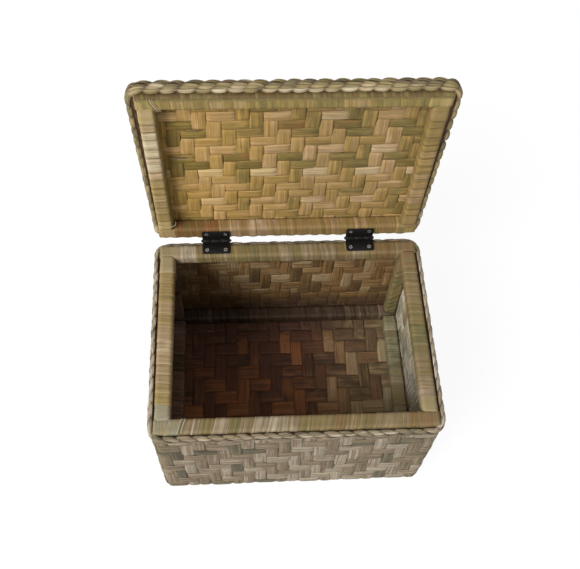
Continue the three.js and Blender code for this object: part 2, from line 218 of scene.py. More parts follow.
def leaf_finish(
    name, tints, second_tints=None, grain=5.0, streak=0.36, drift=0.08, calm=0.0, speckle=0.0,
    edge=(0.8, 0.42),
):
    """Tint from the strip's own number shifted by blotches and broad streaks, times finer streaks
    along the fibre. Beyond edge[0] of the half width the leaf darkens to edge[1]. The streaks also
    raise the surface and vary its roughness. The second look may have its own tints, and streaks
    weaker by calm. Speckle is how dark the small pits of a rough leaf are. A noise has so many waves
    to a mm along the strip and to half its width across, and apart keeps strips from looking alike."""
    finish, tree = new_finish(name)
    place = add(tree, "Attribute", {}, attribute_name="leaf").outputs["Vector"]
    second = add(tree, "Attribute", {}, attribute_name="second_look").outputs["Fac"]
    parts = add(tree, "SeparateXYZ", {0: place})

    def noise(along, across, apart, detail, rough):
        return stretched_noise(tree, place, (along, across, apart), detail, rough)

    def maths(operation, first, other=0.0):
        return add(tree, "Math", {0: first, 1: other}, operation=operation).outputs[0]

    def streaks(value, darker, paler):
        return spread(tree, value, 1 - darker * streak, 1 + paler * streak)

    broad = noise(along=0.007, across=3.1, apart=61.0, detail=3.0, rough=0.55)
    fibres = noise(along=0.012, across=grain, apart=47.0, detail=4.0, rough=0.62)
    fine = noise(along=0.03, across=4 * grain, apart=91.0, detail=2.0, rough=0.5)
    blotches = noise(along=0.04, across=0.8, apart=37.0, detail=3.0, rough=0.5)
    blotch_drift = spread(tree, blotches, -blotch_shift, blotch_shift)
    drifted = maths("ADD", blotch_drift, spread(tree, broad, -drift, drift))
    tint = maths("ADD", parts.outputs["Z"], drifted)
    colour = tint_ramp(tree, tint, tints)
    if second_tints:
        second_colour = tint_ramp(tree, tint, second_tints)
        sockets = {"Factor": second, 6: colour, 7: second_colour}
        colour = add(tree, "Mix", sockets, data_type="RGBA").outputs[2]
    broad_lines = streaks(broad, darker=0.6, paler=0.4)
    fibre_lines = streaks(fibres, darker=1.0, paler=0.7)
    fine_lines = streaks(fine, darker=0.66, paler=0.55)
    lines = maths("MULTIPLY", maths("MULTIPLY", broad_lines, fibre_lines), fine_lines)
    if calm:
        weaker = maths("SUBTRACT", 1.0, maths("MULTIPLY", second, calm))
        lines = maths("ADD", 1.0, maths("MULTIPLY", maths("SUBTRACT", lines, 1.0), weaker))
    worn = spread(tree, maths("ABSOLUTE", parts.outputs["Y"]), 1.0, edge[1], edge[0], 1.0)
    shade = maths("MULTIPLY", lines, worn)
    if speckle:
        pits = noise(along=0.55, across=3.7, apart=29.0, detail=3.0, rough=0.7)
        shade = maths("MULTIPLY", shade, spread(tree, pits, 1 - speckle, 1.0, *pit_range))
    dark = add(tree, "VectorMath", {0: colour, "Scale": shade}, operation="SCALE").outputs[0]
    bump = bumped(tree, maths("ADD", fibres, fine), bump_strength, bump_height)
    rough = spread(tree, fibres, dull_rough, shiny_rough)
    surface(tree, {"Base Color": dark, "Roughness": rough, "Normal": bump, "Specular IOR Level": leaf_gloss})
    return finish


# %% Seven kinds of leaf, from the same plant but dried and worn differently
leaf_kinds = 0.0, 0.2, 0.34, 0.47, 0.61, 0.77, 0.93
rust, green, olive, straw, tan, pink, pale = leaf_kinds
print("kinds of leaf", leaf_kinds)


def tint_list(*colours):
    """One colour for each kind of leaf, in the order of their numbers."""
    return list(zip(leaf_kinds, colours))


def toned(tints, red, green, blue):
    """The same kinds of leaf with each colour times one tone; most such copies here carry painted light and
    shade.
    """
    return [(place, tuple(np.array(colour) * (red, green, blue))) for place, colour in tints]


# %% Leaf of the lid mat and the floor mat
lid_tints = tint_list(
    (0.350, 0.175, 0.055), (0.210, 0.158, 0.046), (0.290, 0.206, 0.064), (0.430, 0.276, 0.084),
    (0.478, 0.308, 0.119), (0.575, 0.378, 0.187), (0.640, 0.475, 0.245),
)
# A paler, yellower copy of the lid's leaf: painted light on the left of the lid mat, against the shade that
# the left rail casts.
painted_light_lid_tints = toned(lid_tints, 1.14, 1.08, 0.86)
twill_lid = leaf_finish(
    "twill_lid_leaf", toned(lid_tints, 0.9, 0.9, 0.95), painted_light_lid_tints, streak=0.3, edge=(0.86, 0.6)
)
# The floor's leaf: a dark, red copy that paints the shade inside the box, then a paler copy for painted light
# where the lamp falls on the right.
floor_tints = tint_list(
    (0.110, 0.042, 0.021), (0.070, 0.031, 0.020), (0.160, 0.063, 0.030), (0.238, 0.092, 0.033),
    (0.262, 0.102, 0.036), (0.290, 0.122, 0.047), (0.335, 0.165, 0.080),
)
painted_lit_floor_tints = tint_list(
    (0.300, 0.170, 0.080), (0.140, 0.094, 0.050), (0.280, 0.202, 0.098), (0.365, 0.262, 0.128),
    (0.410, 0.302, 0.160), (0.475, 0.380, 0.226), (0.560, 0.480, 0.325),
)
twill_floor = leaf_finish("twill_floor_leaf", floor_tints, painted_lit_floor_tints, streak=0.3)
print("mat finishes", twill_lid.name, twill_floor.name)

# %% Leaf of the wall mats, outside and inside
wall_tints = tint_list(
    (0.195, 0.115, 0.057), (0.098, 0.088, 0.050), (0.150, 0.127, 0.071), (0.205, 0.152, 0.079),
    (0.228, 0.172, 0.100), (0.278, 0.200, 0.130), (0.390, 0.325, 0.226),
)
# Inside, the walls have their own copies: a darker, redder one that paints shade, a paler one that paints
# light on the right wall, and for the left wall a lighter copy of the darker one as painted light.
painted_shade_wall_tints = tint_list(
    (0.180, 0.074, 0.023), (0.126, 0.075, 0.028), (0.152, 0.091, 0.035), (0.212, 0.115, 0.039),
    (0.232, 0.133, 0.051), (0.268, 0.163, 0.069), (0.330, 0.230, 0.118),
)
painted_lit_wall_tints = tint_list(
    (0.350, 0.240, 0.135), (0.300, 0.285, 0.195), (0.385, 0.355, 0.245), (0.460, 0.395, 0.255),
    (0.500, 0.440, 0.310), (0.560, 0.490, 0.365), (0.690, 0.630, 0.500),
)
# The back wall's rust is the dark of the painted shade at its foot.
painted_inner_tints = {
    "front": ("twill_wall_painted_shade_leaf", painted_shade_wall_tints),
    "right": ("twill_right_wall_painted_light_leaf", painted_lit_wall_tints),
    "left": ("twill_left_wall_painted_light_leaf", toned(painted_shade_wall_tints, 2.1, 2.05, 2.8)),
    "back": ("twill_back_wall_painted_shade_leaf", [(rust, (0.105, 0.056, 0.036)), *painted_shade_wall_tints[1:]]),
}
rough_wall = {"streak": 0.42, "drift": 0.16, "speckle": 0.5, "edge": (0.9, 0.52)}
wall_finishes = {}
for side, (name, tints) in painted_inner_tints.items():
    wall_finishes[side] = leaf_finish(name, wall_tints, tints, **rough_wall)
print("wall finishes", [finish.name for finish in wall_finishes.values()])

# %% Leaf wound on the rim and the base
rim_wrap_tints = tint_list(
    (0.260, 0.162, 0.064), (0.180, 0.158, 0.060), (0.225, 0.184, 0.078), (0.275, 0.198, 0.074),
    (0.300, 0.214, 0.110), (0.360, 0.262, 0.155), (0.490, 0.405, 0.272),
)
rim_patch_tints = tint_list(
    (0.240, 0.150, 0.070), (0.215, 0.198, 0.105), (0.335, 0.296, 0.205), (0.330, 0.264, 0.134),
    (0.340, 0.264, 0.140), (0.400, 0.315, 0.200), (0.540, 0.465, 0.335),
)
wound = {"grain": 7.0, "streak": 0.36, "drift": 0.11, "calm": 0.6, "edge": (0.94, 0.66)}
wound_smooth = {"grain": 7.0, "streak": 0.27, "drift": 0.09, "calm": 0.6, "edge": (0.96, 0.8)}
# Lit and shaded copies of the rim's leaf: painted light on the rim's left rail, painted shade on its other
# rails and wherever else these finishes go.
painted_lit_rim_tints = toned(rim_wrap_tints, 1.15, 1.13, 1.08)
left_rim_wound = leaf_finish("wound_left_rim_painted_light_leaf", painted_lit_rim_tints, rim_patch_tints, **wound_smooth)
painted_shade_rim_patches = toned(rim_patch_tints, 0.92, 0.92, 0.88)
painted_shade_rim_tints = toned(rim_wrap_tints, 0.82, 0.83, 0.84)
rim_wound = leaf_finish("wound_rim_painted_shade_leaf", painted_shade_rim_tints, painted_shade_rim_patches, **wound)
right_rim_wound = leaf_finish("wound_right_rim_painted_shade_leaf", painted_shade_rim_tints, painted_shade_rim_patches, **wound_smooth)
# The base's leaf is very dark: painted shade for the inside of the box.
painted_shade_base_tints = tint_list(
    (0.062, 0.030, 0.018), (0.038, 0.026, 0.016), (0.052, 0.034, 0.021), (0.064, 0.040, 0.024),
    (0.070, 0.043, 0.028), (0.112, 0.084, 0.052), (0.235, 0.160, 0.128),
)
painted_shade_base_wound = leaf_finish("wound_base_painted_shade_leaf", toned(painted_shade_base_tints, 0.85, 0.77, 0.67), **wound)
print("rim and base finishes", left_rim_wound.name, rim_wound.name, right_rim_wound.name, painted_shade_base_wound.name)

# %% Leaf wound on the lid
lid_wrap_tints = tint_list(
    (0.300, 0.155, 0.052), (0.215, 0.172, 0.054), (0.285, 0.216, 0.076), (0.350, 0.248, 0.078),
    (0.395, 0.272, 0.112), (0.490, 0.352, 0.190), (0.670, 0.550, 0.355),
)
# The rust of these patches is also the dark of the painted shade along the top of the lid's front rail.
lid_patch_tints = tint_list(
    (0.131, 0.084, 0.030), (0.250, 0.205, 0.075), (0.320, 0.255, 0.095), (0.420, 0.310, 0.110),
    (0.450, 0.330, 0.150), (0.520, 0.400, 0.220), (0.670, 0.560, 0.360),
)
lid_wound = leaf_finish("wound_lid_leaf", lid_wrap_tints, lid_patch_tints, **wound_smooth)
# Darker copies that paint shade: on the lid's bottom rail, whose top lies in shade, and on its right rail,
# away from the lamp.
painted_shade_lid_tints = toned(lid_wrap_tints, 0.70, 0.64, 0.62)
painted_shade_lid_patches = toned(lid_patch_tints, 0.80, 0.76, 0.76)
painted_shade_right_lid_tints = toned(lid_wrap_tints, 0.90, 0.86, 0.86)
painted_shade_right_lid_patches = toned(lid_patch_tints, 0.72, 0.68, 0.68)
lid_back_wound = leaf_finish("wound_lid_back_painted_shade_leaf", painted_shade_lid_tints, painted_shade_lid_patches, **wound_smooth)
lid_right_wound = leaf_finish("wound_lid_right_painted_shade_leaf", painted_shade_right_lid_tints, painted_shade_right_lid_patches, **wound_smooth)
print("lid finishes", lid_wound.name, lid_back_wound.name, lid_right_wound.name)

# %% Leaf of the plaits
plait_tints = tint_list(
    (0.260, 0.160, 0.095), (0.140, 0.118, 0.070), (0.215, 0.180, 0.106), (0.285, 0.225, 0.128),
    (0.320, 0.250, 0.152), (0.410, 0.315, 0.212), (0.570, 0.480, 0.355),
)
# Painted shade where the plaits' strips dive under the next one, and in the bed of the groove.
painted_dip_shade = (0.07, 0.042, 0.022)
painted_dip_shades = [(place, painted_dip_shade) for place, _ in plait_tints]
plaited = {"grain": 3.0, "edge": (0.72, 0.45)}
rim_plaited = leaf_finish("plaited_rim_leaf", plait_tints, painted_dip_shades, **plaited)
lid_plait_tints = tint_list(
    (0.380, 0.225, 0.145), (0.180, 0.146, 0.082), (0.262, 0.213, 0.110), (0.365, 0.280, 0.120),
    (0.415, 0.320, 0.152), (0.515, 0.395, 0.228), (0.690, 0.575, 0.375),
)
lid_plaited = leaf_finish("plaited_lid_leaf", lid_plait_tints, painted_dip_shades, **plaited)
print("plait finishes", rim_plaited.name, lid_plaited.name)

# %% [markdown]
# ## Twill mats
# A mat has strips in two directions, and every strip goes over two and under two, one step along
# from its neighbour, which gives the slanting ribs of a twill. A displaced plane would have no
# undersides and no gaps. So each strip is a thin closed ribbon whose middle rises and falls as a
# flattened sine, and both faces of the mat come out right.

# %% The outline of a flat strip
SECTION_POINTS, squareness = 12, 0.7


def leaf_section():
    """Across and thick, each from -1 to 1, walked once round a squarish oval."""
    turn = 2 * np.pi * (np.arange(SECTION_POINTS) + 0.5) / SECTION_POINTS
    square = lambda wave: np.sign(wave) * np.abs(wave) ** squareness
    return square(np.cos(turn)), square(np.sin(turn))


across, thick = leaf_section()
print("points round a strip", SECTION_POINTS)

# %% One set of parallel strips
strip_step, crease = 2.4, 3.0
leaf_half, float_rise, float_bow = 0.42, 0.66, 0.85
strip_fill, float_change, float_loose = (1.06, 1.15), 0.08, 0.24
wander, wander_lengths, wander_share = 0.55, (31, 13), 0.6
width_change, width_length = 0.04, 17
lift_range, lift_change, lift_length = (0.85, 1.1), 0.1, 19
tilt_most, tilt_length = 0.16, 27
grain_reach = 900


def woven_set(edges, cross_edges, shift, place, tints, draw, still_ends=False):
    """Strip i lies between edges[i] and edges[i + 1]. Where it is k crossings from its start, its
    middle rises as tanh(crease * sin(pi / 2 * (k - i - shift))): two over, then two under. A float
    is also bowed across, highest in its middle. Strips wander a little, and each fills a share of
    its place within strip_fill, so that no hole stays between four strips. From one float to the next
    the tint changes by about float_change, on each face in the middle of the hidden part, and a
    loose float stands prouder by a share of about float_loose."""
    count = len(edges) - 1
    number = np.arange(count)[:, None]
    along = np.linspace(cross_edges[0], cross_edges[-1], int(np.ptp(cross_edges) / strip_step) + 1)
    crossing = np.interp(along, cross_edges, np.arange(len(cross_edges)))
    step = crossing - number - shift
    lie = np.tanh(crease * np.sin(np.pi / 2 * step)) / np.tanh(crease)
    over = np.floor((step + 1) / 4).astype(int)
    under = np.floor((step - 1) / 4).astype(int)
    over, under = over - over.min(), under - under.min()
    over_change, under_change, looseness = draw.normal(0, 1, (3, count, max(over.max(), under.max()) + 1))
    over_tint = float_change * np.take_along_axis(over_change, over, axis=1)[..., None]
    under_tint = float_change * np.take_along_axis(under_change, under, axis=1)[..., None]
    loose = float_loose * np.abs(np.take_along_axis(looseness, over, axis=1)) * (lie > 0)
    calm = np.sin(np.pi * (along - along[0]) / np.ptp(along)) if still_ends else 1
    phase = draw.uniform(0, 2 * np.pi, (2, count, 1))
    wave = np.sin(along / wander_lengths[0] + phase[0])
    wave = wave + wander_share * np.sin(along / wander_lengths[1] + phase[1])
    width = np.diff(edges)[:, None] / 2
    share = draw.uniform(*strip_fill, (count, 1))
    share = share + width_change * calm * np.sin(along / width_length + phase[1])
    middle = (edges[1:] + edges[:-1])[:, None] / 2 + wander * calm * wave
    lateral = middle[..., None] + (width * share)[..., None] * across
    lift = draw.uniform(*lift_range, (count, 1))
    lift = lift + lift_change * calm * np.sin(along / lift_length + phase[0])
    tilt = tilt_most * calm * np.sin(along / tilt_length + phase[1])
    height = (lie * (lift + loose))[..., None] * (float_rise + float_bow * (1 - across**2))
    height = height + tilt[..., None] * across + leaf_half * thick
    run = np.broadcast_to(along[:, None], lateral.shape)
    start = draw.uniform(0, grain_reach, (count, 1, 1))
    tint = np.asarray(tints, float).reshape(count, -1)[..., None]
    tint = tint + np.where(thick < 0, under_tint, over_tint)
    marks = leaf_marks(run + start, across, tint, (thick < 0) * 1.0)
    return place(run, lateral, height), marks, False


# %% Two sets make a mat
def twill(row_edges, column_edges, shift, sheet, row_tints, column_tints, draw, still_ends=False):
    """Rows and columns of one mat; a column is over exactly where its row is under."""
    rows = woven_set(row_edges, column_edges, shift, sheet, row_tints, draw, still_ends)
    turned = lambda run, lateral, height: sheet(lateral, run, height)
    columns = woven_set(column_edges, row_edges, 1 - shift, turned, column_tints, draw)
    return [rows, columns]


# %% [markdown]
# ## Lid mat
# The lid's panel is the part of the weave that is seen best. Leaf drawn at random would make a mat of
# the same kind, but the eye knows this lid by its slanting ribs and by its order of pink, olive, straw
# and tan, so both are listed. The corners are pulled in to stay inside the plait.

# %% A flat sheet, and the edges of its strips
least_strip = 0.3


def flat_sheet(corner, right, down, out, size, round_off):
    """A flat sheet from one corner; points past a corner's arc are drawn in to that arc."""
    half, corner = np.array(size) / 2, np.array(corner, float)
    axes = np.array([right, down, out], float)

    def place(u, v, h):
        from_middle = np.stack([u, v], axis=-1) - half
        past = np.maximum(np.abs(from_middle) - (half - round_off), 0)
        reach = np.hypot(past[..., 0], past[..., 1])
        outside = (past > 0).all(axis=-1) & (reach > round_off)
        pull = np.divide(round_off, reach, out=np.ones_like(reach), where=outside)[..., None]
        flat = half + np.sign(from_middle) * (np.abs(from_middle) - past * (1 - pull))
        return corner + np.concatenate([flat, h[..., None]], axis=-1) @ axes

    return place


def strip_edges(first, pitch, end):
    """Edges every pitch from first, with part strips at both ends of the mat. The last one is wider
    than a share of least_strip."""
    inside = np.arange(first, end - least_strip * pitch, pitch)
    return np.concatenate([[0.0], inside, [end]])


# %% Lay the lid mat
def fade(value, start, length):
    """0 up to start, then rising evenly to 1 over a length, which is negative for the other way."""
    return np.clip((value - start) / length, 0, 1)


lid_low, lid_high = cad("lid_mat")
plait_seat, top_seat = 3.8, 1.0
lid_low, lid_high = lid_low - (plait_seat, 0, 0), lid_high + (plait_seat, 0, top_seat)
lid_size = (lid_high[X] - lid_low[X], lid_high[Z] - lid_low[Z])
lid_corner = (lid_low[X], (lid_low[Y] + lid_high[Y]) / 2, lid_high[Z])
lid_round, lid_row_pitch, lid_column_pitch, lid_rib_start = 11, 13.5, 15.05, 2
first_row, first_column = 12.55 + top_seat, 8.2 + plait_seat
lid_sheet = flat_sheet(lid_corner, (1, 0, 0), (0, 0, -1), (0, -1, 0), lid_size, lid_round)
lid_rows = strip_edges(first_row, lid_row_pitch, lid_size[1])
lid_columns = strip_edges(first_column, lid_column_pitch, lid_size[0])
row_kinds = [tan, straw, olive, pink, green, olive, straw, pink, green, olive, pale, tan, tan, straw, pink]
lid_row_tints = np.resize(row_kinds, len(lid_rows) - 1)
column_kinds = [tan, straw, olive, straw, tan, tan, straw - 0.06, olive, straw + 0.05]
lid_column_tints = np.resize(column_kinds, len(lid_columns) - 1)
leaf_change, column_change, painted_left_light, painted_right_shade = 0.03, 0.04, 0.06, -0.02
draw = np.random.default_rng(11)
lid_row_tints = lid_row_tints + draw.normal(0, leaf_change, len(lid_row_tints))
lid_column_tints = lid_column_tints + draw.normal(0, column_change, len(lid_column_tints))
# Painted light and shade: the columns are paler on the left and a little darker on the right.
lid_column_tints = lid_column_tints + np.linspace(painted_left_light, painted_right_shade, len(lid_column_tints))
lid_lofts = twill(lid_rows, lid_columns, lid_rib_start, lid_sheet, lid_row_tints, lid_column_tints, draw)
# Painted light: towards the left the lid mat takes its paler copy of the leaf.
painted_left_light_from, painted_left_light_length = 30.0, -160.0
for grid, marks, _ in lid_lofts:
    marks[..., SECOND] = fade(grid[..., X], painted_left_light_from, painted_left_light_length)
piece("lid_weave", "lid", ["lid_mat"], lid_lofts, twill_lid)

# %% [markdown]
# ## Floor mat
# The bottom is one more twill mat, a browner one, with painted light on its right and painted shade
# on its left quarter and along its far edge. It could be a scaled copy of the lid's mat, but its
# strips are wider and it ends inside the curl of the walls, so the same functions lay it with its
# own pitches.

# %% Lay the floor mat inside the curl of the walls
def mixed_leaf(kinds, count, draw):
    """A tint for each of count strips, drawn from the kinds and varied a little."""
    return draw.choice(kinds, count) + draw.normal(0, leaf_change, count)


def turn_to(kind, marks, share):
    """Moves the tint of each marked point a share of the way to another kind of leaf."""
    marks[..., TINT] += share * (kind - marks[..., TINT])


floor_low, floor_high = cad("floor_mat")
floor_tuck, floor_round, floor_row_pitch, floor_column_pitch, floor_rib_start = 3.5, 3, 18.4, 15.4, 1
floor_size = (floor_high - floor_low)[:Z] - 2 * floor_tuck
floor_corner = (floor_low[X] + floor_tuck, floor_high[Y] - floor_tuck, (floor_low[Z] + floor_high[Z]) / 2)
floor_sheet = flat_sheet(floor_corner, (1, 0, 0), (0, -1, 0), (0, 0, 1), floor_size, floor_round)
first_row, first_column = 9.0, 10.0
floor_rows = strip_edges(first_row, floor_row_pitch, floor_size[1])
floor_columns = strip_edges(first_column, floor_column_pitch, floor_size[0])
draw = np.random.default_rng(12)
floor_kinds = [green, olive, straw, tan, tan, pink, rust]
floor_row_tints = mixed_leaf(floor_kinds, len(floor_rows) - 1, draw)
floor_column_tints = mixed_leaf(floor_kinds, len(floor_columns) - 1, draw)
# Painted shade: the left quarter of the columns takes darker leaf.
left_quarter, left_painted_shade = len(floor_columns) // 4, 0.2
floor_column_tints[:left_quarter] -= left_painted_shade
floor_strips = (floor_rows, floor_columns, floor_rib_start, floor_sheet)
floor_lofts = twill(*floor_strips, floor_row_tints, floor_column_tints, draw)
# Painted light grows over the right of the floor, and painted shade along its far edge.
painted_floor_light_from, painted_floor_light_length = 22.0, 113.0
painted_far_shade_from, painted_far_shade_length = 70.0, 28.0
for grid, marks, _ in floor_lofts:
    marks[..., SECOND] = fade(grid[..., X], painted_floor_light_from, painted_floor_light_length)
    turn_to(green, marks, fade(grid[..., Y], painted_far_shade_from, painted_far_shade_length))
piece("floor_weave", "box", ["floor_mat"], floor_lofts, twill_floor)

# %% [markdown]
# ## Wall mats
# The four walls are one weave: its rows run right round the box and bend at each corner, and its
# stakes curl under the bottom edge. Four flat mats would leave an open seam at each corner, so one
# sheet function bends both sets of strips alike. The weave is cut into four pieces at the middle of
# each corner, where each row runs on into the next piece. Inside, the walls carry painted shade, the
# left and right walls painted light, and the foot of the back wall a darker painted shade.

# %% Bend a sheet round the corners and under the base
corner_bend, base_curl, ground_clear = 8.0, 5.5, 0.05
curl_angle, foot_level = 1.35, 1.9
back_wall = cad("wall_mat_back")
right_wall = cad("wall_mat_right")
half_depth = (back_wall[0][Y] + back_wall[1][Y]) / 2
half_width = (right_wall[0][X] + right_wall[1][X]) / 2
wall_top = back_wall[1][Z]
curl_length = base_curl * curl_angle
curl_start = foot_level + base_curl * np.sin(curl_angle)
print("wall planes in mm", round(half_width, 1), round(half_depth, 1), "top", round(wall_top, 1))


def wall_sheet(way, out, half, distance):
    """A wall seen from outside: way is its left to right, out its normal, half its half width and
    distance how far it is from the middle. Beyond half - corner_bend the sheet turns through 45
    degrees, and below curl_start it turns under the base."""
    way, out, up = np.array(way, float), np.array(out, float), np.array([0.0, 0.0, 1.0])
    straight = half - corner_bend

    def place(u, v, h):
        from_middle = u - straight - corner_bend * np.pi / 4
        turn = np.maximum(np.abs(from_middle) - straight, 0) / corner_bend
        side = np.sign(from_middle)
        sideways = side * (np.minimum(np.abs(from_middle), straight) + corner_bend * np.sin(turn))
        outward = distance - corner_bend * (1 - np.cos(turn))
        under = np.maximum(curl_length - v, 0) / base_curl
        raised = curl_start + np.maximum(v - curl_length, 0) - base_curl * np.sin(under) - h * np.sin(under)
        moved = h * np.cos(under) - base_curl * (1 - np.cos(under))
        normal = np.cos(turn)[..., None] * out + (side * np.sin(turn))[..., None] * way
        raised = np.maximum(raised, ground_clear)
        level = sideways[..., None] * way + outward[..., None] * out + moved[..., None] * normal
        return level + raised[..., None] * up

    return place


# %% A strip that closes the bottom edge
foot_place, foot_half, foot_height = 0.8, 3.6, 0.75


def foot_strip(sheet, reach, tint):
    """A strip along the whole wall, foot_place of the way along the curl, at a steady height."""
    steps = int(reach / strip_step)
    run = np.broadcast_to(np.linspace(0, reach, steps)[:, None], (steps, SECTION_POINTS))
    lateral = curl_length * foot_place + foot_half * across
    height = foot_height + leaf_half * thick
    grid = sheet(run, np.broadcast_to(lateral, run.shape), np.broadcast_to(height, run.shape))
    return grid[None], leaf_marks(run, across, tint, (thick < 0) * 1.0)[None], False


# %% Rows and stakes of the walls
wall_row_count, row_change, splice_range = 10, 1.6, (0.25, 0.75)
long_stakes, short_stakes = 23, 17
weaver_kinds = [olive, straw, tan, tan, pink, pink, pale, pale]
wall_height = wall_top - curl_start + curl_length
draw = np.random.default_rng(13)
wall_rows = np.linspace(0, wall_height, wall_row_count + 1)
wall_rows[1:-1] += draw.uniform(-row_change, row_change, wall_row_count - 1)
sides = {
    "front": ((1, 0, 0), (0, -1, 0), half_width, half_depth, long_stakes),
    "right": ((0, 1, 0), (1, 0, 0), half_depth, half_width, short_stakes),
    "back": ((-1, 0, 0), (0, 1, 0), half_width, half_depth, long_stakes),
    "left": ((0, -1, 0), (-1, 0, 0), half_depth, half_width, short_stakes),
}
corner_tints = draw.choice(weaver_kinds, (wall_row_count, len(sides) + 1))
corner_tints[:, -1] = corner_tints[:, 0]
print("rows of", [round(high, 1) for high in np.diff(wall_rows)], "mm")

# %% Weave the four walls
stake_kinds = [green, olive, straw, tan, tan, pink, pale]
painted_foot_shade_from, painted_foot_shade_length, painted_foot_shade_most = 66.0, -44.0, 0.85
painted_front_light_from, painted_front_light_length, painted_front_light_shift = -30.0, -70.0, 0.3
stakes_before = 0
for corner, (side, (way, out, half, distance, stakes)) in enumerate(sides.items()):
    reach = 2 * (half - corner_bend) + corner_bend * np.pi / 2
    wall_columns = np.linspace(0, reach, stakes + 1)
    steps = int(reach / strip_step) + 1
    splice = draw.uniform(*splice_range, (wall_row_count, 1))
    before_splice = np.linspace(0, 1, steps) < splice
    row_tints = np.where(before_splice, corner_tints[:, [corner]], corner_tints[:, [corner + 1]])
    stake_tints = mixed_leaf(stake_kinds, stakes, draw)
    sheet = wall_sheet(way, out, half, distance)
    lofts = twill(wall_rows, wall_columns, -stakes_before, sheet, row_tints, stake_tints, draw, True)
    stakes_before += stakes
    lofts.append(foot_strip(sheet, reach, tan))
    for grid, marks, _ in lofts:
        # Painted shade at the foot of the back wall inside.
        if side == "back":
            painted_foot_shade = np.minimum(fade(grid[..., Z], painted_foot_shade_from, painted_foot_shade_length), painted_foot_shade_most)
            turn_to(rust, marks, marks[..., SECOND] * painted_foot_shade)
        # Painted light on the inner face of the right wall, growing towards the front.
        if side == "right":
            paler = fade(grid[..., Y], painted_front_light_from, painted_front_light_length)
            marks[..., TINT] += marks[..., SECOND] * painted_front_light_shift * paler
    piece("wall_weave_" + side, "box", ["wall_mat_" + side], lofts, wall_finishes[side])

# %% [markdown]
# ## Wound rails and posts
# Every batten is hidden by a ribbon of leaf wound round it in lapped turns, so the grain runs across
# the rail and each free edge makes a small step. A bumped box would lose those steps at the corners.
# The ribbon is one strip carried round an eased rectangle while it creeps along the batten.

# %% Points and normals round an eased rectangle
def eased_loop(width, height, radius, arc_points=7):
    """Length so far, points and normals round a rectangle with round corners, closed at the end."""
    quarter = np.linspace(0, np.pi / 2, arc_points)
    angle = (quarter + np.arange(4)[:, None] * np.pi / 2).ravel()
    signs = np.repeat([[1, 1], [-1, 1], [-1, -1], [1, -1]], arc_points, axis=0)
    normals = np.stack([np.cos(angle), np.sin(angle)], axis=-1)
    points = signs * (np.array([width, height]) / 2 - radius) + radius * normals
    points, normals = np.vstack([points, points[:1]]), np.vstack([normals, normals[:1]])
    steps = np.hypot(*np.diff(points, axis=0).T)
    return np.concatenate([[0], np.cumsum(steps)]), points, normals


def round_loop(loop, length):
    """Point and normal at each length along an eased loop, any number of times round."""
    so_far, points, normals = loop
    at = np.mod(length, so_far[-1])
    between = lambda each: np.stack([np.interp(at, so_far, each[:, i]) for i in (X, Y)], axis=-1)
    return between(points), between(normals)


# %% Wind a ribbon round one batten
turn_steps, edge_ease, ribbon_half, lap_rise = 36, 4.0, 0.26, 0.75
turn_pitches, ribbon_share, creep_share, end_rise = (9, 19), 1.3, 0.25, 0.5
slack_most, slack_waves, slack_start = 0.12, (2.3, 0.9), 6
side_hidden, low_hidden, late_slant, steady_slant = 0.65, 0.9, 0.4, 0.9


def other_axes(axis):
    """The two axes across this one."""
    return [i for i in (X, Y, Z) if i != axis]


def member(node):
    """Lowest and highest corner of a long CAD node, the axis it runs along and the two across it."""
    low, high = cad(node)
    axis = int(np.argmax(high - low))
    return low, high, axis, other_axes(axis)


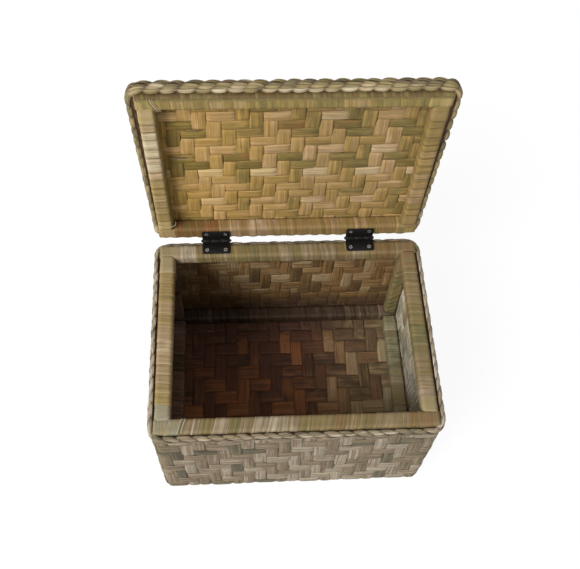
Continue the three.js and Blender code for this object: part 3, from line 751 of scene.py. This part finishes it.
def wound_ribbon(node, kinds, draw, hand=1, patches=None, hidden=side_hidden, slant=late_slant, stretch=0.0):
    """After t turns the ribbon's middle is advance(t) along the batten and t times the girth round
    it. Only a share of slant creeps steadily, the rest near the part hidden of each turn, so that
    the fibres lie nearly square to the rail where it shows. Across the ribbon the height falls from
    its free edge to the edge that the next turn covers. The first and last turns don't advance, so
    both ends finish square. kinds gives the leaf from one end to the other, patches that of the ends.
    Both ends reach stretch past the batten, into the eased edges of the rails that they butt against."""
    low, high, axis, other = member(node)
    size, centre = high - low, (high + low) / 2
    size[axis] += 2 * stretch
    sunk = lap_rise + 2 * ribbon_half
    loop = eased_loop(*(size[other] - 2 * sunk), edge_ease - sunk)
    girth = loop[0][-1]
    ribbon = ribbon_share * turn_pitches[1]
    creep = size[axis] - ribbon
    steps = draw.uniform(*turn_pitches, int(np.ceil(creep / np.mean(turn_pitches))))
    steps[0] = turn_pitches[1] if patches else steps[0]
    stops = np.concatenate([[0, 0], np.cumsum(steps) * creep / steps.sum(), [creep]])
    turns = len(stops) - 1
    t = np.linspace(0, turns, turns * turn_steps + 1)
    part = np.clip((t % 1 - hidden) / creep_share + 0.5, 0, 1)
    crept = np.floor(t) + slant * (t % 1) + (1 - slant) * part**2 * (3 - 2 * part)
    advance = np.interp(crept, np.arange(turns + 1), stops) - creep / 2
    point, normal = round_loop(loop, hand * t * girth)
    swell = np.sin(t * slack_waves[0] + draw.uniform(0, slack_start))
    slack = slack_most * swell * np.sin(t * slack_waves[1])
    ends = end_rise * np.clip(t - turns + 1, 0, 1) - end_rise * np.clip(1 - t, 0, 1)
    height = (1 - across) / 2 * lap_rise + ribbon_half * (1 + thick) + (slack + ends)[:, None]
    grid = np.empty((1, len(t), SECTION_POINTS, 3))
    grid[0, ..., axis] = centre[axis] + advance[:, None] + across * ribbon / 2
    grid[0][..., other] = centre[other] + point[:, None] + normal[:, None] * height[..., None]
    place = np.clip(stops / creep * len(kinds), 0, len(kinds) - 1).astype(int)
    leaves = np.array(kinds)[place] + draw.normal(0, leaf_change, turns + 1)
    smooth = np.zeros(turns + 1)
    if patches:
        leaves[[0, 1]], leaves[[-2, -1]] = patches
        smooth[[0, 1, -2, -1]] = 1
    turn = np.minimum(t.astype(int), turns)
    fibre = (t * girth + draw.uniform(0, grain_reach))[:, None]
    marks = leaf_marks(fibre, across, leaves[turn, None], smooth[turn, None])
    return grid, marks[None], False


# %% Close the ends of a winding
cap_step = 0.3


def leaf_caps(node, tint):
    """Two plates of leaf, one at each end: the outline of the winding, and a thickness."""
    low, high, axis, other = member(node)
    inset = lap_rise + ribbon_half
    size = (high - low)[other]
    outline = eased_loop(*(size - 2 * inset), edge_ease - inset)[1][:-1]
    caps = []
    for end in (low[axis], high[axis]):
        cap = np.empty((1, 2, len(outline), 3))
        cap[..., axis] = end + np.array([-cap_step, cap_step])[:, None]
        cap[..., other] = ((high + low) / 2)[other] + outline
        marks = leaf_marks(outline[:, 0], outline[:, 1] / size[1], tint, 1.0)
        caps.append((cap, marks, False))
    return caps


# %% The leaf of each rail, from one end to the other
painted_shade_base_kinds = [olive, tan, straw, olive, tan, straw, tan]
rail_leaves = {
    "base_front": painted_shade_base_kinds, "base_back": [*painted_shade_base_kinds, tan, tan, pink - 0.05, pink],
    "base_left": [pale, pink, pale, pale, pink, pale],
    "base_right": [pink, tan, pink, tan, pink, olive, green + 0.08, olive, green + 0.08],
    "rim_front": [
        tan, tan, pink, straw, pink, straw, tan, pink, pink, pale - 0.05, pink, straw, straw, straw,
        rust + 0.05, straw, straw, tan, tan, tan, rust, straw,
    ],
    "rim_back": [
        tan + 0.08, pink, straw, straw, tan, straw, olive + 0.08, olive + 0.08, tan, olive + 0.08, tan, tan,
        tan, rust + 0.05, tan, straw, rust, rust,
    ],
    "rim_left": [rust, straw, tan, tan, pink, tan + 0.08, pink, tan + 0.05, tan, tan, straw, straw, straw],
    "rim_right": [
        pink - 0.04, pink - 0.04, tan, tan, olive, olive, olive, olive, straw, straw, tan, tan, straw,
    ],
    "lid_front": [
        straw, straw, straw, straw, tan, straw, straw, olive, straw, straw, olive, olive, straw, tan,
        olive, straw, olive, olive,
    ],
    "lid_back": [
        straw, rust + 0.05, rust, rust, tan, pink, tan, pink, tan, straw, tan, tan, straw, tan, straw,
        tan, straw, straw, tan,
    ],
    "lid_left": [
        tan + 0.08, tan, tan, tan, tan, pink - 0.05, pink + 0.09, pink + 0.1, pink + 0.1, pink + 0.08, pink,
    ],
    "lid_right": [olive, straw, tan + 0.05, straw, tan, straw + 0.04, tan, straw - 0.06, straw, straw],
}
corner_leaves = {
    "rim_front": (olive + 0.04, rust + 0.03), "rim_back": (tan, rust + 0.03), "rim_left": (olive, tan),
    "rim_right": (straw + 0.04, rust + 0.03), "lid_front": (straw, straw), "lid_back": (tan, straw),
    "lid_left": (tan, tan), "lid_right": (straw, straw),
}
# The front, back and left base rails take the base's painted shade; the right one, where the lamp falls,
# keeps the rim's leaf.
rail_finishes = {
    "base_front": painted_shade_base_wound, "base_back": painted_shade_base_wound, "base_left": painted_shade_base_wound,
    "rim_left": left_rim_wound, "rim_right": right_rim_wound, "lid_back": lid_back_wound,
    "lid_right": lid_right_wound,
}
print("rails", len(rail_leaves))

# %% Wind the rails of base, rim and lid
draw = np.random.default_rng(14)
butt_reach = {"base": 0.0, "rim": 3.2, "lid": 5.2}
painted_shade_depth, painted_shade_fade, shaded_shift, shaded_face = 4.6, 1.6, 0.4, 1.5
for rail, kinds in rail_leaves.items():
    part, side = rail.split("_")
    node = f"{part}_winding_{side}"
    hand, slant = (-1, steady_slant) if rail == "rim_front" else (1, late_slant)
    hidden = low_hidden if part == "lid" else side_hidden
    stretch = butt_reach[part] if side in ("left", "right") else 0.0
    ribbon = wound_ribbon(node, kinds, draw, hand, corner_leaves.get(rail), hidden, slant, stretch)
    grid, marks, _ = ribbon
    high = cad(node)[1]
    # Painted shade: the top of the lid's front rail darkens towards rust and the patches' dark, where the
    # plait shades it.
    if rail == "lid_front":
        painted_band_shade = fade(grid[..., Z] - high[Z], -painted_shade_depth, painted_shade_fade)
        turn_to(rust, marks, painted_band_shade)
        marks[..., SECOND] = np.maximum(marks[..., SECOND], painted_band_shade)
    if rail == "base_right":
        marks[..., SECOND] = 1.0
    # Painted shade on the inner face of the lid's left rail.
    if rail == "lid_left":
        marks[..., TINT] -= shaded_shift * (grid[..., X] > high[X] - shaded_face)
    body, finish = ("lid", lid_wound) if part == "lid" else ("box", rim_wound)
    finish = rail_finishes.get(rail, finish)
    caps = leaf_caps(node, tan) if side in ("front", "back") else []
    piece(f"{part}_wrap_{side}", body, [node], [ribbon, *caps], finish)

# %% Wind the posts
for corner in ("front_left", "front_right", "back_left", "back_right"):
    node = "post_winding_" + corner
    # The left posts take the base's painted shade.
    painted_shade_post = "left" in corner
    kinds = [pale, pink, pale] if painted_shade_post else [olive, straw, tan, olive, straw, tan]
    ribbon = wound_ribbon(node, kinds, draw)
    finish = painted_shade_base_wound if painted_shade_post else rim_wound
    piece("post_wrap_" + corner, "box", [node], [ribbon], finish)

# %% [markdown]
# ## Loose ends
# Where a winding starts or stops, the real box shows a twisted end of leaf on the front rim, a fold at
# the corner beside it, a few stray fibres at the head of the lid and a curl at its foot. Two strips of
# the lid's mat have split and gape. Each of these is a narrow ribbon along a few points. Curve objects
# would do, but they carry no marks for the finish.

# %% Lay narrow ribbons along points
loose_points, loose_smoothings, loose_thick, loose_tip = 25, 4, 0.3, 0.02
loose_fibre, loose_second = 9, 0.6


def loose_leaf(points, half, sideways, tint, draw):
    """A ribbon of one half width whose middle is a smooth line through the points and whose width
    lies along sideways; it thins towards both ends."""
    points = np.array(points, float)
    place = np.linspace(0, len(points) - 1, loose_points)
    line = np.stack([np.interp(place, np.arange(len(points)), points[:, i]) for i in (X, Y, Z)], axis=-1)
    for _ in range(loose_smoothings):
        line[1:-1] = (line[:-2] + 2 * line[1:-1] + line[2:]) / 4
    sideways = np.array(sideways, float) / np.linalg.norm(sideways)
    ahead = np.gradient(line, axis=0)
    proud = np.cross(ahead, sideways)
    proud /= np.linalg.norm(proud, axis=-1, keepdims=True)
    taper = np.sqrt(np.maximum(1 - np.linspace(-1, 1, loose_points) ** 4, loose_tip))[:, None, None]
    flat = line[:, None] + taper * half * across[:, None] * sideways
    grid = flat + taper * loose_thick * thick[:, None] * proud[:, None]
    fibre = (place * loose_fibre + draw.uniform(0, grain_reach))[:, None]
    marks = leaf_marks(fibre, across, tint, loose_second)
    return grid[None], marks[None], False


# %% Twisted end and fold on the front rim
draw = np.random.default_rng(16)
bright_leaf = pale + 0.07
rim_top = cad("rim_winding_front")[1][Z]
twist_lies = ((-131.5, 0.9, 0.2, pale), (-129.6, 0.8, -0.25, olive), (-127.6, 1.0, 0.15, pale))
twist = []
for x, half, lie, tint in twist_lies:
    points = [
        (x + 3.0, -105.5, rim_top - 0.6), (x + 2.0, -109, rim_top), (x, -115, rim_top + 0.1),
        (x - 1.2, -121, rim_top), (x - 1.6, -123.6, rim_top - 1.2),
    ]
    twist.append(loose_leaf(points, half, (1, 0.25, lie), tint, draw))
fold_points = [
    (-156, -106.6, rim_top), (-152, -105.6, rim_top + 0.1), (-146, -104.4, rim_top + 0.1),
    (-142.4, -103.4, rim_top - 0.3),
]
fold = loose_leaf(fold_points, 0.8, (0.2, 1, 0.25), bright_leaf, draw)
piece("loose_leaf_rim", "box", [], [*twist, fold], rim_wound)

# %% Stray fibres, a curl and split strips on the lid
lid_rail_low, lid_rail_high = cad("lid_winding_front")
lid_face, lid_top = lid_rail_low[Y], lid_rail_high[Z]
stray = []
for x, tint in ((-147.5, tan), (-145, pale), (-142.5, pink)):
    points = [
        (x, lid_face + 0.6, lid_top - 1), (x + 1.5, lid_face, lid_top - 6),
        (x + 4.5, lid_face, lid_top - 13), (x + 8, lid_face + 0.4, lid_top - 20),
    ]
    stray.append(loose_leaf(points, 0.6, (1, 0, 0.4), tint, draw))
curl_points = [
    (-163.5, lid_face + 2, 222), (-158, lid_face - 0.3, 220), (-150, lid_face - 0.5, 218.5),
    (-143, lid_face - 0.2, 217.5), (-138.8, lid_face + 0.6, 219), (-137.2, lid_face + 1.2, 223),
    (-138.2, lid_face + 1.5, 227),
]
curl = loose_leaf(curl_points, 0.75, (0.1, -0.5, 0.85), bright_leaf, draw)
mat_face = cad("lid_mat")[0][Y]
# A dark ribbon in each split paints the shade of its gap.
split_edge, painted_slit_shade = (0.3, 0.35), (-0.2, 0.95)
splits = (
    (-121, 375, 24, -2.4, split_edge, straw), (-116, 373.5, 15, 1.6, split_edge, tan),
    (-137, 330, 26, -2.6, split_edge, pink), (-133, 330.5, 12, 1.8, split_edge, tan),
    (-122, 374.8, 25, -0.6, painted_slit_shade, rust - 0.2), (-137, 329.6, 25, -0.6, painted_slit_shade, rust - 0.2),
)
gaping = []
for x, z, span, bulge, (proud, half), tint in splits:
    points = [
        (x, mat_face + 0.9, z), (x + 0.3 * span, mat_face - proud, z + bulge),
        (x + 0.7 * span, mat_face - proud, z + bulge - 1), (x + span, mat_face + 0.9, z - 2.5),
    ]
    gaping.append(loose_leaf(points, half, (0.1, 0.5, 0.85), tint, draw))
piece("loose_leaf_lid", "lid", [], [*stray, curl, *gaping], lid_wound)

# %% [markdown]
# ## Plaited borders
# A thick plait runs round the rim and round the lid. Its strands are bundles of flat strips: each
# bundle comes up over the one before, bulges, and dives under the next. Rope from an array modifier
# would show its joints at the corners, and what hides inside a plait is never seen, so only the
# visible loops are made, one after another round a core.

# %% Places round a frame
def round_frame(loop, centre, axes, level, flare, along, out, upward):
    """Points at a length along the loop, so far out from it and so far up its level axis. The frame is
    wider by a share of flare for each mm towards its far edge."""
    point, normal = round_loop(loop, along)
    grid = np.empty((*np.broadcast_shapes(along.shape, out.shape, upward.shape), 3))
    place = point + normal * np.broadcast_to(out, grid.shape[:-1])[..., None]
    place[..., 0] *= 1 + flare * place[..., 1]
    grid[..., axes] = centre[axes] + place
    grid[..., level] = centre[level] + upward
    return grid


# %% Lay overlapping loops round it
core_depth, plait_corner, lap, strip_thick = 6.6, 14.0, 0.9, 0.6
core_rows, core_out, bed_middle, bed_half, bed_thick = 400, 0.8, -2.4, 2.6, 0.7
loop_spacing, loop_points, corner_points = 16.0, 15, 15
place_change, reach_range, lay_change = 0.12, (0.58, 0.68), 0.08
rise_range, rise_change, strip_crown, gathered = (0.8, 1.2), 0.12, 0.26, 0.3
lean_middle, lean_change, plait_change = 0.3, 0.35, 0.14
loop_fibre, loop_grain_reach = 12, 9000


def plait(node, level, strip_half, core_half, lay, kinds, rise, stagger, stand_off, bed, painted_side_light, draw):
    """A strip leaves the core at the angle lay, measured from straight outwards, and stands on a
    core of half sizes core_half (out, level). Along a loop, u from -1 to 1, it is proud by
    rise (1 - u^2)^0.8 + lap u, so that its head lies on the tail of the next, and all strips gather
    at both ends, which take painted shade. Strips of one loop are staggered along the core by their
    lay. A flat bed between core and rail closes the groove; bed is its level and how much painted
    shade it takes. stand_off moves the sides and the far edge outwards and flares the frame, and the
    shifts of tint for the left, right, near and far sides paint light and shade on them."""
    low, high = cad(node)
    axes = other_axes(level)
    low[axes] -= (stand_off[0], 0)
    high[axes] += stand_off[:2]
    flare = stand_off[2]
    size, centre = high - low, (high + low) / 2
    loop = eased_loop(*(size[axes] - core_depth), plait_corner, corner_points)
    whole = loop[0][-1]
    count = int(round(whole / loop_spacing))
    middle = (np.arange(count) + draw.uniform(-place_change, place_change, count)) * whole / count
    reach = whole / count * draw.uniform(*reach_range, count)
    u = -np.cos(np.linspace(0, np.pi, loop_points))
    bulge = 1 - u**2
    strips = len(kinds)
    tilt = np.radians(lay)[None, :, None, None] + draw.normal(0, lay_change, (count, strips, 1, 1))
    proud = rise * draw.uniform(*rise_range, (count, strips, 1)) * bulge**0.8
    proud = proud + lap * u + draw.normal(0, rise_change, (count, 1, 1))
    taper = np.sqrt(np.maximum(1 - np.abs(u) ** 4, 0.01))[:, None]
    crown = strip_crown * strip_half * (1 - across**2)
    raised = proud[..., None] + taper * (strip_thick * thick + crown)
    wide = taper * strip_half * across
    gather = (1 - gathered + gathered * bulge)[:, None]
    lean = draw.normal(lean_middle, lean_change, (count, 1, 1, 1)) * u[:, None]
    out = (gather * core_half[0] + raised) * np.cos(tilt) - wide * np.sin(tilt)
    upward = (gather * core_half[1] + raised) * np.sin(tilt) + wide * np.cos(tilt) + lean
    behind = stagger / 90 * np.array(lay)[:, None, None]
    along = (middle[:, None] + u * reach[:, None])[:, None, :, None] - behind
    grid = round_frame(loop, centre, axes, level, flare, along, out, upward)
    # Painted light and shade: each loop's leaf shifts with the side of the frame that it faces.
    to_right, to_far = round_loop(loop, middle)[1].T
    toward = np.maximum(np.stack([-to_right, to_right, -to_far, to_far], axis=-1), 0)
    tint = np.array(kinds) + (toward @ painted_side_light)[:, None] + draw.normal(0, plait_change, (count, strips))
    fibre = (u * loop_fibre + draw.uniform(0, loop_grain_reach, (count, strips, 1)))[..., None]
    marks = leaf_marks(fibre, across, tint[..., None, None], (np.abs(u) ** 3)[:, None])
    marks = np.broadcast_to(marks, (*grid.shape[:-1], 4))
    shape = (count * strips, len(u), SECTION_POINTS, -1)
    loops = (grid.reshape(shape), marks.reshape(shape), False)
    s = np.linspace(0, whole, core_rows, endpoint=False)[None, :, None]
    around = (loop, centre, axes, level, flare, s)
    core = round_frame(*around, core_out * thick, core_half[1] * across)
    flat = round_frame(*around, bed_middle + bed_half * across, bed[0] + bed_thick * thick)
    return loops, (core, leaf_marks(s, across, rust), True), (flat, leaf_marks(s, across, rust, bed[1]), True)


# %% Plait the rim and the lid
draw = np.random.default_rng(15)
rim_loops = plait(
    "rim_braid", level=Z, strip_half=1.6, core_half=(1.7, 3.4), lay=(-60, -24, 10, 42, 70, 94),
    kinds=(olive, tan, olive, pink, tan, straw), rise=1.45, stagger=11.0, stand_off=(0.0, -2.4, 0.0),
    bed=(1.0, 1.0), painted_side_light=(0.32, 0.25, -0.04, -0.35), draw=draw,
)
piece("rim_plait", "box", ["rim_braid"], rim_loops, rim_plaited)
lid_loops = plait(
    "lid_braid", level=Y, strip_half=2.7, core_half=(0.8, 5.0), lay=(-84, -42, 0, 42, 84),
    kinds=(pink, tan, straw, olive, tan), rise=1.6, stagger=5.5, stand_off=(1.2, 0.2, 1.15e-4),
    bed=(-3.0, 0.2), painted_side_light=(-0.3, -0.26, 0.0, 0.0), draw=draw,
)
piece("lid_plait", "lid", ["lid_braid"], lid_loops, lid_plaited)

# %% [markdown]
# ## Hinges and screws
# The two butt hinges are black painted steel and their screws are plain steel. The CAD solids have
# the right size but few sides, so plates get rounded edges, barrels get round and the screw heads
# get a cross recess, all as rings of points stacked into closed shells.

# %% Painted and plain steel
scuff_scale, scuff_strength, scuff_height = 420.0, 0.25, 0.0002
paint_gloss, bare_gloss = 0.15, 0.35


def metal_finish(name, colour, worn, metallic, rough):
    """Paint or bare metal with fine scuffs that change its colour and roughness a little."""
    finish, tree = new_finish(name)
    place = add(tree, "TexCoord", {}).outputs["Object"]
    sockets = {"Vector": place, "Scale": scuff_scale, "Detail": 4.0, "Roughness": 0.6}
    scuff = add(tree, "TexNoise", sockets).outputs["Fac"]
    tint = tint_ramp(tree, scuff, [(0.35, colour), (0.72, worn)])
    bump = bumped(tree, scuff, scuff_strength, scuff_height)
    gloss = paint_gloss + bare_gloss * metallic
    sockets = {"Base Color": tint, "Normal": bump, "Metallic": metallic, "Specular IOR Level": gloss}
    surface(tree, {**sockets, "Roughness": spread(tree, scuff, *rough)})
    return finish


black_paint = metal_finish(
    "black_hinge_paint", (0.0040, 0.0036, 0.0032), (0.011, 0.0095, 0.008), 0.0, (0.5, 0.68)
)
plain_steel = metal_finish("screw_steel_finish", (0.42, 0.42, 0.41), (0.60, 0.60, 0.58), 1.0, (0.28, 0.42))
print("metal finishes", black_paint.name, plain_steel.name)

# %% Rings of points for plates, barrels and screws
plate_corner, plate_bevel, barrel_bevel = 2.0, 0.3, 0.35
RING_POINTS = 32
ring_turn = 2 * np.pi * (np.arange(RING_POINTS) + 0.5) / RING_POINTS


def metal_piece(name, body, node, shells, finish):
    """One piece in the place of a CAD node, from closed shells that need no leaf marks."""
    piece(name, body, [node], [(shell, np.zeros(4), False) for shell in shells], finish)


def plate_shell(centre, right, forward, up, size):
    """Four rings of an eased rectangle, the outer ones drawn in by the bevel."""
    drawn_in = np.array([plate_bevel, 0, 0, plate_bevel])
    half = size[2] / 2
    raised = np.array([-half, plate_bevel - half, half - plate_bevel, half])
    _, point, normal = eased_loop(size[0], size[1], plate_corner, arc_points=8)
    point, normal = point[:-1], normal[:-1]
    flat = point - drawn_in[:, None, None] * normal
    level = np.broadcast_to(raised[:, None, None], (*flat.shape[:2], 1))
    place = np.concatenate([flat, level], axis=-1) @ np.array([right, forward, up], float)
    return np.array(centre) + place[None]


def barrel_shell(centre, profile):
    """Rings about the X axis; profile lists (place along X, radius)."""
    place, radius = np.array(profile, float).T
    ring = np.stack([np.cos(ring_turn), np.sin(ring_turn)], axis=-1)
    sides = radius[:, None, None] * ring
    level = np.broadcast_to(place[:, None, None], (*sides.shape[:2], 1))
    return np.array(centre) + np.concatenate([level, sides], axis=-1)[None]


def knuckle(centre, start, end, radius):
    """A bevelled barrel between two places along the pin."""
    tip = radius - barrel_bevel
    middle = [(start + barrel_bevel, radius), (end - barrel_bevel, radius)]
    return barrel_shell(centre, [(start, tip), *middle, (end, tip)])


# %% Build each hinge from its CAD boxes
knuckle_radius, middle_knuckle, knuckle_gap, plate_thick, plate_below_pin = 2.5, 12.0, 0.15, 1.2, 1.1
plate_under_knuckle = 0.75
pin_head = [(0.0, 0.5), (0.25, 1.3), (0.7, 1.9), (1.3, 1.9), (1.4, 1.2)]
for place in ("left", "right"):
    box_leaf, lid_leaf, pin_node = "hinge_leaf_box_" + place, "hinge_leaf_lid_" + place, "hinge_pin_" + place
    pin_low, pin_high = cad(pin_node)
    pin = (pin_low + pin_high) / 2
    box_low, box_high = cad(box_leaf)
    lid_leaf_top = cad(lid_leaf)[1][Z]
    length = box_high[X] - box_low[X]
    inner, outer = middle_knuckle / 2 + knuckle_gap, length / 2
    reach = pin[Y] - knuckle_radius * plate_under_knuckle - box_low[Y]
    size = (length, reach, plate_thick)
    box_centre = (pin[X], box_low[Y] + reach / 2, pin[Z] - plate_below_pin)
    box_plate = plate_shell(box_centre, (1, 0, 0), (0, 1, 0), (0, 0, 1), size)
    lid_centre = (pin[X], pin[Y] + plate_below_pin, lid_leaf_top - reach / 2)
    lid_plate = plate_shell(lid_centre, (1, 0, 0), (0, 0, 1), (0, -1, 0), size)
    box_barrels = [knuckle(pin, -outer, -inner, knuckle_radius), knuckle(pin, inner, outer, knuckle_radius)]
    lid_barrel = knuckle(pin, -middle_knuckle / 2, middle_knuckle / 2, knuckle_radius)
    metal_piece("hinge_box_" + place, "box", box_leaf, [box_plate, *box_barrels], black_paint)
    metal_piece("hinge_lid_" + place, "lid", lid_leaf, [lid_plate, lid_barrel], black_paint)
    end = (pin_high[X] - pin_low[X]) / 2
    half_profile = [(end - back, radius) for back, radius in pin_head]
    profile = [(-x, radius) for x, radius in half_profile] + half_profile[::-1]
    pin_shell = barrel_shell(pin, profile)
    metal_piece("hinge_pin_shell_" + place, "box", pin_node, [pin_shell], black_paint)

# %% Turn each screw, head last, and press in its cross
head_radius, shank_radius, head_proud = 2.5, 1.3, 0.2
recess_depth, recess_half, recess_reach, recess_slope = 0.8, 0.38, 1.6, 0.3
tip_and_shank = [(0.15, 11.0), (0.7, 10.0), (shank_radius, 8.5), (shank_radius, 1.4)]
head_side = [(head_radius, 0.12), (2.3, -0.08), (1.9, -0.14), (1.62, -0.17), (1.5, -0.18), (1.3, -0.19)]
head_top = [(radius, -head_proud) for radius in (1.05, 0.8, 0.55, 0.3, 0.1)]
screw_profile = np.array([*tip_and_shank, *head_side, *head_top])


def screw_shell(node, inward):
    """A profile of (radius, depth) turned round the screw's axis; the head sinks where a point is
    within the arms of a cross and well inside the rim."""
    low, high = cad(node)
    axis = int(np.argmax(np.abs(inward)))
    top = (low + high) / 2
    top[axis] = (low if inward[axis] > 0 else high)[axis] + head_proud * inward[axis]
    other = other_axes(axis)
    radius, depth = screw_profile[:, :1], screw_profile[:, 1:]
    a, b = radius * np.cos(ring_turn), radius * np.sin(ring_turn)
    arm = np.minimum(np.abs(a), np.abs(b)) < recess_half
    inside = fade(radius, recess_reach, -recess_slope) * (depth < 0)
    sunk = depth + recess_depth * arm * inside
    shell = np.empty((1, len(radius), len(ring_turn), 3))
    shell[0, ..., axis] = top[axis] + inward[axis] * sunk
    shell[0][..., other] = top[other] + np.stack([a, b], axis=-1)
    return shell


for owner, inward in (("box", (0, 0, -1)), ("lid", (0, 1, 0))):
    for place in ("left", "right"):
        for number in (1, 2):
            node = f"screw_{owner}_{place}_{number}"
            shell = screw_shell(node, inward)
            metal_piece("cross_" + node, owner, node, [shell], plain_steel)

# %% [markdown]
# ## Battens
# The wooden battens stay as the CAD gives them, because almost nothing of them shows. They still get
# a plain wood finish, for the places where an end peeps out.

# %% Plain pale wood
wood_stretch, wood_rough, wood_strength, wood_height = (25.0, 160.0, 160.0), 0.7, 0.3, 0.0004


def batten_finish():
    """Two browns mixed by a noise that is stretched along X."""
    finish, tree = new_finish("batten_wood_finish")
    place = add(tree, "TexCoord", {}).outputs["Object"]
    grain = stretched_noise(tree, place, wood_stretch, detail=4.0, rough=0.5)
    tint = tint_ramp(tree, grain, [(0.3, (0.30, 0.19, 0.10)), (0.7, (0.46, 0.32, 0.19))])
    bump = bumped(tree, grain, wood_strength, wood_height)
    surface(tree, {"Base Color": tint, "Roughness": wood_rough, "Normal": bump})
    return finish


batten_wood = batten_finish()
battens = [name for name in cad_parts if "_batten_" in name]
for name in battens:
    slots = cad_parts[name].data.materials
    slots.clear()
    slots.append(batten_wood)
print("battens with a wood finish", len(battens))

# %% [markdown]
# ## Studio
# A pale floor, one broad soft lamp from the left and front, and an even sky. To the camera the floor
# and the sky are white, as in the photograph, but they light the box at a plain level, so each colour
# comes out about as it is written.

# %% White to the camera, plain to the light
no_and_yes = (0.0, 1.0)


def seen_directly(tree):
    """1 for rays that see the background itself or its mirror image, 0 for light on its way."""
    path = add(tree, "LightPath", {}).outputs
    sockets = {0: path["Is Camera Ray"], 1: path["Is Glossy Ray"]}
    either = add(tree, "Math", sockets, operation="MAXIMUM").outputs[0]
    return add(tree, "Math", {0: either, 1: path["Is Transmission Ray"]}, operation="MAXIMUM").outputs[0]


# %% Sky
sky_light, white = 0.35, (1, 1, 1, 1)
world = bpy.data.worlds.new("studio_sky")
bpy.context.scene.world = world
world.use_nodes = True
tree = world.node_tree
tree.nodes.clear()
level = spread(tree, seen_directly(tree), sky_light, 1.0, *no_and_yes)
sky = add(tree, "Background", {"Color": white, "Strength": level})
add(tree, "OutputWorld", {"Surface": sky.outputs[0]})
print("sky", world.name, "lights the box at", sky_light)

# %% Floor
floor_grey, seen_grey, floor_glow = 0.42, 0.10, 0.92
floor_finish, tree = new_finish("pale_floor")
seen = seen_directly(tree)
matt = add(tree, "BsdfDiffuse", {"Color": spread(tree, seen, floor_grey, seen_grey, *no_and_yes)})
glow = add(tree, "Emission", {"Strength": spread(tree, seen, 0.0, floor_glow, *no_and_yes)})
both = add(tree, "AddShader", {0: matt.outputs[0], 1: glow.outputs[0]})
add(tree, "OutputMaterial", {"Surface": both.outputs[0]})
floor_mesh = bpy.data.meshes.new("floor")
floor_reach = 6.0
square = [(x * floor_reach, y * floor_reach, 0) for x, y in ((-1, -1), (1, -1), (1, 1), (-1, 1))]
floor_mesh.from_pydata(square, [], [(0, 1, 2, 3)])
floor_mesh.materials.append(floor_finish)
floor = linked("floor", floor_mesh)
print("floor", 2 * floor_reach, "m square")

# %% One broad lamp
lamp_from = Vector((-0.60, -0.53, 0.61)).normalized()
lamp = bpy.data.lights.new("window", "SUN")
lamp.energy, lamp.angle = 3.5, 0.6
lamp_object = linked("window", lamp)
lamp_object.matrix_world = lamp_from.to_track_quat("Z", "Y").to_matrix().to_4x4()
print("lamp", lamp.name, "of strength", lamp.energy)

# %% [markdown]
# ## Camera
# The place and angles of the camera were fitted to the corners of the frame that the photograph
# shows. The matrix is built from the three angles, so nothing else has to be lined up.

# %% Set the camera
def flat_turn(angle):
    """A turn by an angle about the third axis."""
    return np.array([[np.cos(angle), -np.sin(angle), 0], [np.sin(angle), np.cos(angle), 0], [0, 0, 1]])


image_width, focal_pixels, sensor = 580, 798.2, 36.0
camera_place = Vector((-0.0532, -0.4281, 1.0271))
pitch, yaw, roll = np.radians([59.61, 6.13, -3.93])
level_view = np.array([[1, 0, 0], [0, np.sin(pitch), np.cos(pitch)], [0, np.cos(pitch), -np.sin(pitch)]])
right, up, forward = flat_turn(roll) @ level_view @ flat_turn(yaw)
camera = bpy.data.cameras.new("photograph_view")
camera.sensor_fit, camera.sensor_width = "HORIZONTAL", sensor
camera.lens = focal_pixels * sensor / image_width
camera_object = linked("photograph_view", camera)
turned = Matrix(np.stack([right, up, -forward], axis=1).tolist())
camera_object.matrix_world = Matrix.Translation(camera_place) @ turned.to_4x4()
bpy.context.scene.camera = camera_object
bpy.context.scene.view_settings.view_transform = "Standard"
print("lens", round(camera.lens, 2), "mm")
